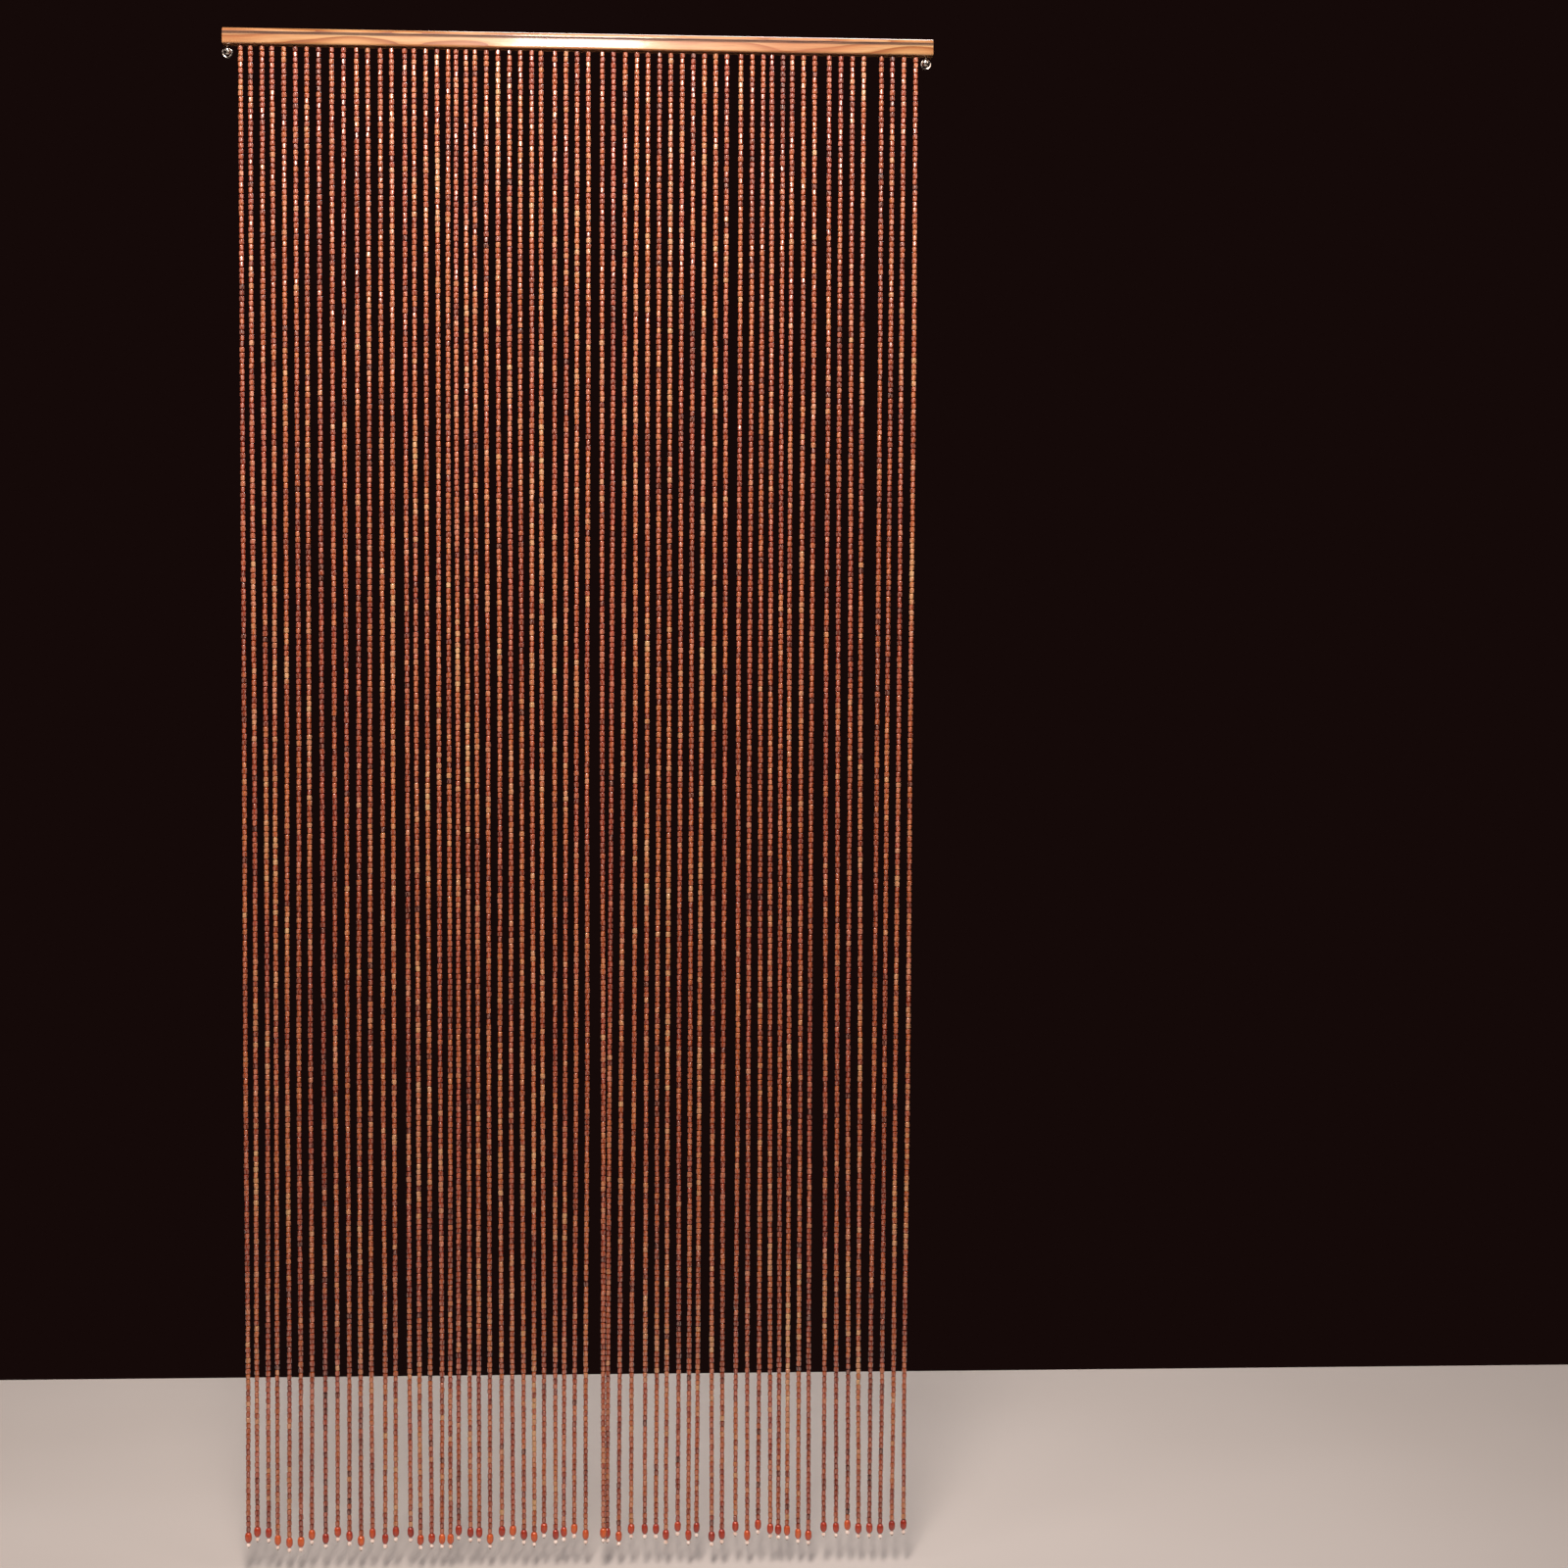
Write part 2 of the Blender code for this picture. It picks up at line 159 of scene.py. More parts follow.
# %% [markdown]
# Each tooth has twelve rings. From the top they are the bare thread under the rail, the first
# bead, four places where the string may bend, the last bead, two rings of the end bead, its
# lower tip, the stop ball's middle and the ball's foot. How thick a string is, and its end bead
# and ball, is read off the rings too.

# %% Read the rings of each tooth
RING_NAMES = ["neck", "first", "bend_1", "bend_2", "bend_3", "bend_4", "last"]
RING_NAMES += ["end_bead_top", "end_bead_low", "tip", "ball", "foot"]


def read_rings(tooth):
    """The middle of each of a tooth's rings by name, and each ring's radius by name."""
    from_the_top = tooth[np.argsort(-tooth[:, 2])]
    rings = from_the_top.reshape(-1, RING_CORNERS, 3)
    middles = rings.mean(axis=1)
    radii = np.linalg.norm(rings - middles[:, None, :], axis=2).mean(axis=1)
    return dict(zip(RING_NAMES, middles)), dict(zip(RING_NAMES, radii))


STRINGS = [read_rings(tooth)[0] for tooth in TEETH]
RADII = read_rings(TEETH[0])[1]
print("radii in mm:", {name: round(float(r) / MM, 2) for name, r in RADII.items()})

# %% [markdown]
# A string of beads bends gently, and never with a corner. So between the rings its line is a
# cubic that passes through each of them (Hermite's), with the depth under the rail as its
# parameter. The two rings of the neck are so close together that only the upper one is used.

# %% The line of one string
THROUGH = ["neck", "bend_1", "bend_2", "bend_3", "bend_4", "last"]


def line_at(rings, heights):
    """Points on a string's centre line at these heights, and the line's direction there."""
    knots = np.array([rings[name] for name in THROUGH])
    z = knots[:, 2]
    slope = np.gradient(knots[:, :2], z, axis=0)
    slope[-1] = 0.0
    k = np.clip(np.searchsorted(-z, -heights) - 1, 0, len(z) - 2)
    step = z[k + 1] - z[k]
    t = np.clip((heights - z[k]) / step, 0.0, 1.0)[:, None]
    step = step[:, None]
    across = (
        knots[k, :2] * (2 * t**3 - 3 * t**2 + 1)
        + slope[k] * step * (t**3 - 2 * t**2 + t)
        + knots[k + 1, :2] * (3 * t**2 - 2 * t**3)
        + slope[k + 1] * step * (t**3 - t**2)
    )
    points = np.column_stack([across, heights])
    direction = np.gradient(points, axis=0)
    return points, direction / np.linalg.norm(direction, axis=1)[:, None]


print("string 1 half way down:", line_at(STRINGS[0], np.array([-0.9, -1.0, -1.1]))[0][1].round(4))

# %% [markdown]
# ## The camera
#
# A curtain two metres high is seen whole from about three metres away, with a lens a little
# longer than normal. The camera stands at chest height, so it looks up at the rail and down at
# the hem, and it stands a hand's breadth to the right of the middle, turned a little more to the
# right. It is tipped a quarter of a degree, as a camera held by hand is.

# %% Camera
CAMERA_PLACE = (0.120, -3.0, -0.813)
CAMERA_TURN = math.radians(-2.74)  # a minus is to the right of straight ahead
CAMERA_PITCH = math.radians(-2.49)
CAMERA_TIP = math.radians(0.25)
SENSOR = 36.0
FOCAL = 53.2

lens = bpy.data.cameras.new("camera")
lens.sensor_width = SENSOR
lens.lens = FOCAL
camera = bpy.data.objects.new("camera", lens)
bpy.context.scene.collection.objects.link(camera)
camera.location = CAMERA_PLACE
camera.rotation_mode = "QUATERNION"
level = Euler((math.radians(90) + CAMERA_PITCH, 0.0, CAMERA_TURN)).to_quaternion()
camera.rotation_quaternion = level @ Quaternion((0.0, 0.0, 1.0), CAMERA_TIP)
bpy.context.scene.camera = camera
print("camera at", CAMERA_PLACE, "with a lens of", FOCAL, "mm")

# %% [markdown]
# ## Floor, lights and what is around
#
# The rail is screwed to the head of a doorway, and the hem ends just above the floor, so a plain
# pale floor lies a few centimetres under the last beads. Behind the curtain it is dark, as in a
# doorway to an unlit room: the strings are thin and shiny, and show best against the dark.

# %% Floor
FLOOR_UNDER_HEM = 28 * MM
FLOOR_SIZE = (3.6, 2.8)
FLOOR_MIDDLE = (0.0, -0.55)

bpy.ops.mesh.primitive_plane_add(size=1.0)
floor = bpy.context.active_object
floor.name = "floor"
floor.scale = (*FLOOR_SIZE, 1.0)
floor.location = (*FLOOR_MIDDLE, CAD_BOX[0].z - FLOOR_UNDER_HEM)
floor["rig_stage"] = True
print("floor at", round(floor.location.z, 4))

# %% [markdown]
# Soft light comes from large lamps, like the soft boxes of a photo studio. The main one is a tall
# strip straight ahead, above the camera. A strip has little width, so it lights the middle of each
# round string and leaves its two sides dark, and its reflection shines in the varnish of the rail
# and in the upper beads. It is turned to the rail and has a honeycomb grid before it, which keeps
# its light together, so that the rail gets more than the hem. Two weak lamps fill the shadows, and
# one high up behind lights the curtain's other side. None of them is in view.

# %% Soft boxes
LAMPS = [
    {"name": "strip", "at": (-0.10, -1.95, 1.25), "size": (0.54, 2.1), "watts": 66.0, "tint": "#FFEEE6"},
    {"name": "fill_left", "at": (-2.4, -2.2, 1.7), "size": (1.2, 1.4), "watts": 22.0, "tint": "#FFEAE2"},
    {"name": "fill_right", "at": (2.8, -2.2, 0.6), "size": (1.2, 1.6), "watts": 18.0, "tint": "#FFE8E0"},
    {"name": "behind", "at": (0.5, 2.6, 2.3), "size": (2.2, 1.4), "watts": 75.0, "tint": "#F6F0F4"},
]
LIT_POINT = Vector((0.0, 0.0, -0.2))
STRIP_SPREAD = math.radians(110)  # a honeycomb before the strip: what is far off its axis gets less


def linear(hex_colour):
    """An sRGB colour such as #C86432, as the four linear numbers that a shader's socket holds."""
    parts = [int(hex_colour[k:k + 2], 16) / 255 for k in (1, 3, 5)]
    return (*[p / 12.92 if p <= 0.04045 else ((p + 0.055) / 1.055) ** 2.4 for p in parts], 1.0)


for row in LAMPS:
    light = bpy.data.lights.new(row["name"], "AREA")
    light.shape = "RECTANGLE"
    light.size, light.size_y = row["size"]
    light.energy = row["watts"]
    light.color = linear(row["tint"])[:3]
    lamp = bpy.data.objects.new(row["name"], light)
    bpy.context.scene.collection.objects.link(lamp)
    lamp.location = row["at"]
    lamp.rotation_mode = "QUATERNION"
    lamp.rotation_quaternion = (LIT_POINT - lamp.location).to_track_quat("-Z", "Y")
    lamp.visible_camera = False
bpy.data.lights["strip"].spread = STRIP_SPREAD
print("lamps:", [row["name"] for row in LAMPS])

# %% [markdown]
# The world around is nearly black. It is what the varnish mirrors where no lamp is, so it keeps
# the dark edges of the beads dark. The picture's tones are shown as they are, without a
# film curve, so that strong oranges keep their colour.

# %% World
world = bpy.data.worlds.new("unlit room")
world.use_nodes = True
world.node_tree.nodes["Background"].inputs["Color"].default_value = linear("#150A09")
bpy.context.scene.world = world
bpy.context.scene.view_settings.view_transform = "Standard"

# %% [markdown]
# ## Materials
#
# Every finish is a small network of nodes ending in the same Principled shader. One function
# adds a node: it sets the node's own settings, then each socket, either to a value or to a link
# from another node's output. A ramp's stops are given as pairs of a place and a colour.

# %% The one function that adds a node
def add(tree, kind, sockets=None, stops=None, **settings):
    """Adds a node with its settings, its sockets' values or links, and a ramp's stops."""
    node = tree.nodes.new(kind)
    for name, value in settings.items():
        setattr(node, name, value)
    for socket, value in (sockets or {}).items():
        if isinstance(value, bpy.types.NodeSocket):
            tree.links.new(value, node.inputs[socket])
        else:
            node.inputs[socket].default_value = value
    if stops:
        elements = node.color_ramp.elements
        while len(elements) < len(stops):
            elements.new(0.5)
        for element, (place, colour) in zip(elements, stops):
            element.position = place
            element.color = linear(colour)
    return node


def new_material(name):
    """A material that holds only its Principled shader: (material, its tree, the shader)."""
    made = bpy.data.materials.new(name)
    made.use_nodes = True
    return made, made.node_tree, made.node_tree.nodes["Principled BSDF"]


# %% [markdown]
# ### Tumbled, dyed and waxed hardwood: the beads
#
# Small beads are sawn from square strips of a pale hardwood, drilled, and tumbled in a drum with
# grit until their edges are round. Then they are dyed red-brown and tumbled again with wax. The
# eye sees four things. Each bead took the dye in its own way, from tan to dark brown. The rounded
# edges are polished and mirror the lamps. What is left of each flat side is an oval, a little
# duller, with the fine creases and pores of sawn wood; its colour is also paled a little towards a
# pale pink, a painted sheen for the veil of light the duller flats reflect. Around the oval, where
# flat turns into round, the dye is worn thin and a paler line shows.
#
# The beads carry four attributes for this: `stain` and `redness`, one number each a bead,
# `bead_place`, from -1 to 1 across and along the bead, and `grain_at`, millimetres in a block of
# wood of its own, so that no two beads have the same grain.

# %% The oval flats of a bead
OVAL_WIDTH, OVAL_LENGTH = 0.6, 0.74  # of the bead's half width and half length


def oval_distance(tree, place):
    """How far out a point is on its side of the bead: below 1 on the oval flat, above 1 beyond."""
    split = add(tree, "ShaderNodeSeparateXYZ", {0: place})
    x = add(tree, "ShaderNodeMath", {0: split.outputs[0]}, operation="ABSOLUTE")
    y = add(tree, "ShaderNodeMath", {0: split.outputs[1]}, operation="ABSOLUTE")
    sideways = add(tree, "ShaderNodeMath", {0: x.outputs[0], 1: y.outputs[0]}, operation="MINIMUM")
    across = add(tree, "ShaderNodeMath", {0: sideways.outputs[0], 1: OVAL_WIDTH}, operation="DIVIDE")
    along = add(tree, "ShaderNodeMath", {0: split.outputs[2], 1: OVAL_LENGTH}, operation="DIVIDE")
    flat = add(tree, "ShaderNodeCombineXYZ", {0: across.outputs[0], 1: along.outputs[0]})
    return add(tree, "ShaderNodeVectorMath", {0: flat.outputs[0]}, operation="LENGTH").outputs["Value"]


# %% [markdown]
# The same distance also rounds the bead. A mesh of sixteen thousand beads can't afford enough
# faces for round edges, so beyond the oval a bump lowers the surface, more and more towards the
# edge. Light then turns around the edge of each flat as it does on the tumbled wood.

# %% Bead wood
CREASE_SIZE = 0.5  # mm. In life about 0.3, which is too fine to show at this distance
FIGURE_SIZE = 1.7  # mm across the grain, a growth ring of slow-grown wood
ALONG_GRAIN = 0.4  # creases and figure are longer than they are wide
POLISHED_EDGE, DULL_SIDE = 0.16, 0.3  # roughness
SHEEN_PAINT_SHARE = 0.24  # how far the oval flats' colour is paled towards pale pink, a painted sheen
EDGE_DROP = 0.9  # mm, times the square of the distance beyond the oval
CREASE_DEPTH = 0.035  # mm


def bead_wood():
    """Dyed and waxed hardwood, tan to dark red-brown."""
    made, tree, shader = new_material("tumbled waxed hardwood")
    stain = add(tree, "ShaderNodeAttribute", attribute_name="stain").outputs["Fac"]
    redness = add(tree, "ShaderNodeAttribute", attribute_name="redness").outputs["Fac"]
    place = add(tree, "ShaderNodeAttribute", attribute_name="bead_place").outputs["Vector"]
    grain_at = add(tree, "ShaderNodeAttribute", attribute_name="grain_at").outputs["Vector"]
    along = add(
        tree, "ShaderNodeMapping", {"Vector": grain_at, "Scale": (1.0, 1.0, ALONG_GRAIN)}
    ).outputs[0]
    figure = add(
        tree, "ShaderNodeTexNoise",
        {"Vector": along, "Scale": 1 / FIGURE_SIZE, "Detail": 3.0, "Roughness": 0.6, "Distortion": 0.6},
    ).outputs["Fac"]
    creases = add(
        tree, "ShaderNodeTexNoise",
        {"Vector": along, "Scale": 1 / CREASE_SIZE, "Detail": 2.0, "Roughness": 0.7, "Distortion": 1.5},
    ).outputs["Fac"]
    far_out = oval_distance(tree, place)
    on_oval = add(
        tree, "ShaderNodeMapRange",
        {"Value": far_out, "From Min": 0.88, "From Max": 1.04, "To Min": 1.0, "To Max": 0.0},
        interpolation_type="SMOOTHSTEP",
    ).outputs["Result"]
    from_line = add(tree, "ShaderNodeMath", {0: far_out, 1: 1.0}, operation="SUBTRACT").outputs[0]
    from_line = add(tree, "ShaderNodeMath", {0: from_line}, operation="ABSOLUTE").outputs[0]
    worn = add(
        tree, "ShaderNodeMapRange",
        {"Value": from_line, "From Min": 0.0, "From Max": 0.14, "To Min": 0.16, "To Max": 0.0},
    ).outputs["Result"]

    tone = add(
        tree, "ShaderNodeMath", {0: figure, 1: 0.75, 2: -0.375}, operation="MULTIPLY_ADD"
    ).outputs[0]
    tone = add(tree, "ShaderNodeMath", {0: tone, 1: stain}, operation="ADD").outputs[0]
    pits = add(
        tree, "ShaderNodeMapRange",
        {"Value": creases, "From Min": 0.5, "From Max": 0.72, "To Min": 0.0, "To Max": 0.3},
    ).outputs["Result"]
    tone = add(tree, "ShaderNodeMath", {0: pits, 1: on_oval, 2: tone}, operation="MULTIPLY_ADD")
    tone = add(tree, "ShaderNodeMath", {0: tone.outputs[0], 1: worn}, operation="SUBTRACT")
    orange = add(
        tree, "ShaderNodeValToRGB", {"Fac": tone.outputs[0]},
        stops=[(0.0, "#BC9868"), (0.3, "#A85A2C"), (0.6, "#86381B"), (1.0, "#461C10")],
    )
    red = add(
        tree, "ShaderNodeValToRGB", {"Fac": tone.outputs[0]},
        stops=[(0.0, "#B27258"), (0.3, "#923A22"), (0.6, "#6E2616"), (1.0, "#36100C")],
    )
    mixed = add(
        tree, "ShaderNodeMix", {"Factor": redness, "A": orange.outputs[0], "B": red.outputs[0]},
        data_type="RGBA",
    ).outputs["Result"]
    # Painted sheen: the oval flats' colour is paled towards pale pink, for the veil of light they reflect.
    painted_sheen = add(tree, "ShaderNodeMath", {0: on_oval, 1: SHEEN_PAINT_SHARE}, operation="MULTIPLY").outputs[0]
    mixed = add(
        tree, "ShaderNodeMix", {"Factor": painted_sheen, "A": mixed, "B": linear("#C8A090")}, data_type="RGBA"
    ).outputs["Result"]
    tree.links.new(mixed, shader.inputs["Base Color"])

    rough = add(
        tree, "ShaderNodeMapRange", {"Value": on_oval, "To Min": POLISHED_EDGE, "To Max": DULL_SIDE}
    ).outputs["Result"]
    rough = add(tree, "ShaderNodeMath", {0: creases, 1: 0.12, 2: rough}, operation="MULTIPLY_ADD")
    tree.links.new(rough.outputs[0], shader.inputs["Roughness"])

    beyond = add(tree, "ShaderNodeMath", {0: far_out, 1: 1.0}, operation="SUBTRACT").outputs[0]
    beyond = add(tree, "ShaderNodeMath", {0: beyond, 1: 0.0}, operation="MAXIMUM").outputs[0]
    drop = add(tree, "ShaderNodeMath", {0: beyond, 1: 2.0}, operation="POWER").outputs[0]
    drop = add(tree, "ShaderNodeMath", {0: drop, 1: -EDGE_DROP}, operation="MULTIPLY").outputs[0]
    crease = add(tree, "ShaderNodeMath", {0: creases, 1: on_oval}, operation="MULTIPLY").outputs[0]
    height = add(
        tree, "ShaderNodeMath", {0: crease, 1: -CREASE_DEPTH, 2: drop}, operation="MULTIPLY_ADD"
    )
    bump = add(tree, "ShaderNodeBump", {"Height": height.outputs[0], "Strength": 1.0, "Distance": MM})
    tree.links.new(bump.outputs[0], shader.inputs["Normal"])
    shader.inputs["IOR"].default_value = 1.5
    shader.inputs["Coat Weight"].default_value = 0.9
    shader.inputs["Coat Roughness"].default_value = 0.12
    return made


BEAD_WOOD = bead_wood()
print("bead wood:", len(BEAD_WOOD.node_tree.nodes), "nodes")

# %% [markdown]
# ### Turned and lacquered hardwood: the end beads
#
# The oval bead at the foot of each string is turned on a lathe, dyed a deeper red and dipped in
# clear lacquer. It has no flats. The grain runs along it, and shows as soft darker streaks under
# a lacquer as smooth as glass.

# %% End bead wood
STREAK_SIZE = 1.1  # mm


def turned_wood():
    """Deep orange-red lacquered hardwood with lengthwise streaks."""
    made, tree, shader = new_material("turned lacquered hardwood")
    stain = add(tree, "ShaderNodeAttribute", attribute_name="stain").outputs["Fac"]
    grain_at = add(tree, "ShaderNodeAttribute", attribute_name="grain_at").outputs["Vector"]
    along = add(tree, "ShaderNodeMapping", {"Vector": grain_at, "Scale": (1.0, 1.0, 0.12)}).outputs[0]
    streaks = add(
        tree, "ShaderNodeTexNoise",
        {"Vector": along, "Scale": 1 / STREAK_SIZE, "Detail": 3.0, "Roughness": 0.6, "Distortion": 0.4},
    ).outputs["Fac"]
    tone = add(
        tree, "ShaderNodeMath", {0: streaks, 1: 1.1, 2: -0.55}, operation="MULTIPLY_ADD"
    ).outputs[0]
    tone = add(tree, "ShaderNodeMath", {0: tone, 1: stain}, operation="ADD").outputs[0]
    colour = add(
        tree, "ShaderNodeValToRGB", {"Fac": tone},
        stops=[(0.1, "#D0662A"), (0.45, "#A93216"), (0.8, "#74190D"), (1.0, "#420D08")],
    )
    tree.links.new(colour.outputs["Color"], shader.inputs["Base Color"])
    rough = add(tree, "ShaderNodeMapRange", {"Value": streaks, "To Min": 0.2, "To Max": 0.34})
    tree.links.new(rough.outputs["Result"], shader.inputs["Roughness"])
    bump = add(tree, "ShaderNodeBump", {"Height": streaks, "Strength": 0.4, "Distance": 0.08 * MM})
    tree.links.new(bump.outputs[0], shader.inputs["Normal"])
    shader.inputs["IOR"].default_value = 1.52
    shader.inputs["Coat Weight"].default_value = 1.0
    shader.inputs["Coat Roughness"].default_value = 0.05
    return made


TURNED_WOOD = turned_wood()

# %% [markdown]
# ### Planed and varnished pine: the rail
#
# The rail is a length of pine moulding under two coats of clear varnish. Pine has broad pale
# early wood and thin dark late wood. The rail was sawn so that its face lies nearly along the
# rings, so these show as long streaks that drift up and down, with a pointed arch here and
# there. The varnish gives a clear, nearly white shine that lies over the grain and hides it. The
# fine line cut along the face lies in shade, and that shade is painted into the colour as a dark
# band around it; there the varnish is also made rougher and thinner, so it hardly shines.
#
# The rings are drawn as what they are, shells around the tree's middle, which lies behind and
# below the rail. A slow noise along the rail bends the trunk.

# %% Rail wood
RING_WIDTH = 2.1  # mm
HEART = (24.0, -9.0)  # mm behind the rail's back and above its middle
TRUNK_BEND = 9.0  # mm, over about a fifth of the rail
# Painted shade along the cut line: where its middle lies, and how wide its dark band is.
LINE_AT = (-14.0, 3.5)  # mm, the middle of the cut line in depth and height
LINE_WIDTH = (1.2, 2.8)  # mm from its middle, where the dark begins to fade and where it ends


def from_axis(tree, depth, height, axis):
    """How far a point of the rail is from a line along it that lies at (depth, height)."""
    back = add(tree, "ShaderNodeMath", {0: depth, 1: axis[0]}, operation="SUBTRACT").outputs[0]
    up = add(tree, "ShaderNodeMath", {0: height, 1: axis[1]}, operation="SUBTRACT").outputs[0]
    flat = add(tree, "ShaderNodeCombineXYZ", {0: back, 1: up}).outputs[0]
    return add(tree, "ShaderNodeVectorMath", {0: flat}, operation="LENGTH").outputs["Value"]


def rail_wood():
    """Pine with growth rings, fine fibres, painted shade along the cut line and clear varnish."""
    made, tree, shader = new_material("planed varnished pine")
    place = add(tree, "ShaderNodeTexCoord").outputs["Object"]
    in_mm = add(tree, "ShaderNodeMapping", {"Vector": place, "Scale": (1000, 1000, 1000)}).outputs[0]
    slow = add(tree, "ShaderNodeMapping", {"Vector": in_mm, "Scale": (0.0055, 0.01, 0.01)}).outputs[0]
    bend = add(
        tree, "ShaderNodeTexNoise", {"Vector": slow, "Scale": 1.0, "Detail": 1.5, "Roughness": 0.4}
    ).outputs["Fac"]
    shift = add(
        tree, "ShaderNodeMath", {0: bend, 1: TRUNK_BEND, 2: -TRUNK_BEND / 2}, operation="MULTIPLY_ADD"
    ).outputs[0]
    split = add(tree, "ShaderNodeSeparateXYZ", {0: in_mm}).outputs
    out = from_axis(tree, split[1], split[2], HEART)
    out = add(tree, "ShaderNodeMath", {0: out, 1: shift}, operation="ADD").outputs[0]
    years = add(tree, "ShaderNodeMath", {0: out, 1: RING_WIDTH}, operation="DIVIDE").outputs[0]
    season = add(tree, "ShaderNodeMath", {0: years}, operation="FRACT").outputs[0]
    fibre_place = add(tree, "ShaderNodeMapping", {"Vector": in_mm, "Scale": (0.025, 1.3, 1.3)})
    fibres = add(
        tree, "ShaderNodeTexNoise",
        {"Vector": fibre_place.outputs[0], "Scale": 1.0, "Detail": 4.0, "Roughness": 0.65},
    ).outputs["Fac"]
    wood = add(
        tree, "ShaderNodeValToRGB", {"Fac": season},
        stops=[(0.0, "#A4743F"), (0.15, "#B99264"), (0.6, "#AE7F4F"), (0.86, "#925C2E"), (1.0, "#79411C")],
    ).outputs["Color"]
    mellow = add(
        tree, "ShaderNodeMapRange",
        {"Value": bend, "From Min": 0.38, "From Max": 0.7, "To Min": 0.0, "To Max": 0.55},
    ).outputs["Result"]
    wood = add(
        tree, "ShaderNodeMix", {"Factor": mellow, "A": wood, "B": linear("#A26643")}, data_type="RGBA"
    ).outputs["Result"]
    darker = add(
        tree, "ShaderNodeMapRange",
        {"Value": fibres, "From Min": 0.3, "From Max": 0.7, "To Min": 0.72, "To Max": 1.1},
    ).outputs["Result"]
    wood = add(tree, "ShaderNodeVectorMath", {0: wood, 1: darker}, operation="MULTIPLY").outputs[0]
    # Painted shade: a soft band around the cut line, where the groove lies in shade, patchy along the fibres.
    shaded_dull_line = add(
        tree, "ShaderNodeMapRange",
        {
            "Value": from_axis(tree, split[1], split[2], LINE_AT),
            "From Min": LINE_WIDTH[0], "From Max": LINE_WIDTH[1], "To Min": 1.0, "To Max": 0.0,
        },
        interpolation_type="SMOOTHSTEP",
    ).outputs["Result"]
    patchy = add(
        tree, "ShaderNodeMapRange",
        {"Value": fibres, "From Min": 0.3, "From Max": 0.6, "To Min": 1.0, "To Max": 0.7},
    ).outputs["Result"]
    shaded_dull_line = add(tree, "ShaderNodeMath", {0: shaded_dull_line, 1: patchy}, operation="MULTIPLY").outputs[0]
    # The painted shade darkens the wood to a near-black brown in that band.
    wood_with_line_shade = add(
        tree, "ShaderNodeMix", {"Factor": shaded_dull_line, "A": wood, "B": linear("#2C1004")}, data_type="RGBA"
    ).outputs["Result"]
    tree.links.new(wood_with_line_shade, shader.inputs["Base Color"])
    rough = add(
        tree, "ShaderNodeMapRange", {"Value": fibres, "To Min": 0.3, "To Max": 0.46}
    ).outputs["Result"]
    rough = add(tree, "ShaderNodeMath", {0: shaded_dull_line, 1: 0.35, 2: rough}, operation="MULTIPLY_ADD")
    tree.links.new(rough.outputs[0], shader.inputs["Roughness"])
    coat = add(tree, "ShaderNodeMapRange", {"Value": shaded_dull_line, "To Min": 0.8, "To Max": 0.0})
    tree.links.new(coat.outputs["Result"], shader.inputs["Coat Weight"])
    bump = add(tree, "ShaderNodeBump", {"Height": fibres, "Strength": 0.35, "Distance": 0.15 * MM})
    tree.links.new(bump.outputs[0], shader.inputs["Normal"])
    shader.inputs["IOR"].default_value = 1.5
    shader.inputs["Coat Roughness"].default_value = 0.1
    return made


RAIL_WOOD = rail_wood()
print("rail wood:", len(RAIL_WOOD.node_tree.nodes), "nodes")

# %% [markdown]
# ### Nickel-plated steel: the eyes and the screws
#
# Small fittings are bent or turned from steel, tumbled bright and plated with nickel, which is a
# warm silver. Handling and a screwdriver leave fine scratches, so the mirror is a little soft,
# and softer in some places than in others.

# %% Nickel
def nickel():
    """Bright nickel plate with light wear."""
    made, tree, shader = new_material("tumbled nickel plate")
    place = add(tree, "ShaderNodeTexCoord").outputs["Object"]
    in_mm = add(tree, "ShaderNodeMapping", {"Vector": place, "Scale": (1000, 1000, 1000)}).outputs[0]
    wear = add(
        tree, "ShaderNodeTexNoise", {"Vector": in_mm, "Scale": 0.6, "Detail": 4.0, "Roughness": 0.7}
    ).outputs["Fac"]
    colour = add(
        tree, "ShaderNodeValToRGB", {"Fac": wear}, stops=[(0.35, "#B9B1A4"), (0.6, "#DAD5CB")]
    )
    tree.links.new(colour.outputs["Color"], shader.inputs["Base Color"])
    rough = add(tree, "ShaderNodeMapRange", {"Value": wear, "To Min": 0.32, "To Max": 0.12})
    tree.links.new(rough.outputs["Result"], shader.inputs["Roughness"])
    scratch_place = add(tree, "ShaderNodeMapping", {"Vector": in_mm, "Scale": (7.0, 1.0, 0.8)})
    scratches = add(
        tree, "ShaderNodeTexNoise", {"Vector": scratch_place.outputs[0], "Scale": 1.0, "Detail": 2.0}
    )
    bump = add(
        tree, "ShaderNodeBump",
        {"Height": scratches.outputs["Fac"], "Strength": 0.2, "Distance": 0.02 * MM},
    )
    tree.links.new(bump.outputs[0], shader.inputs["Normal"])
    shader.inputs["Metallic"].default_value = 1.0
    return made


NICKEL = nickel()

# %% [markdown]
# ### Thread, and the lacquer of the stop balls
#
# The beads hang on a brown twisted polyester thread. Its two plies show as slanted stripes, which
# a wave texture with diagonal bands gives well enough on so thin a thread: as a bump, and as painted
# shade that darkens the colour in the grooves between the plies. The stop balls are
# moulded plastic under a pale pearl lacquer: milky, smooth, with faint warm clouds.

# %% Thread and pearl
TWIST_LENGTH = 1.6  # mm a ply takes to go round once. In life 1.0


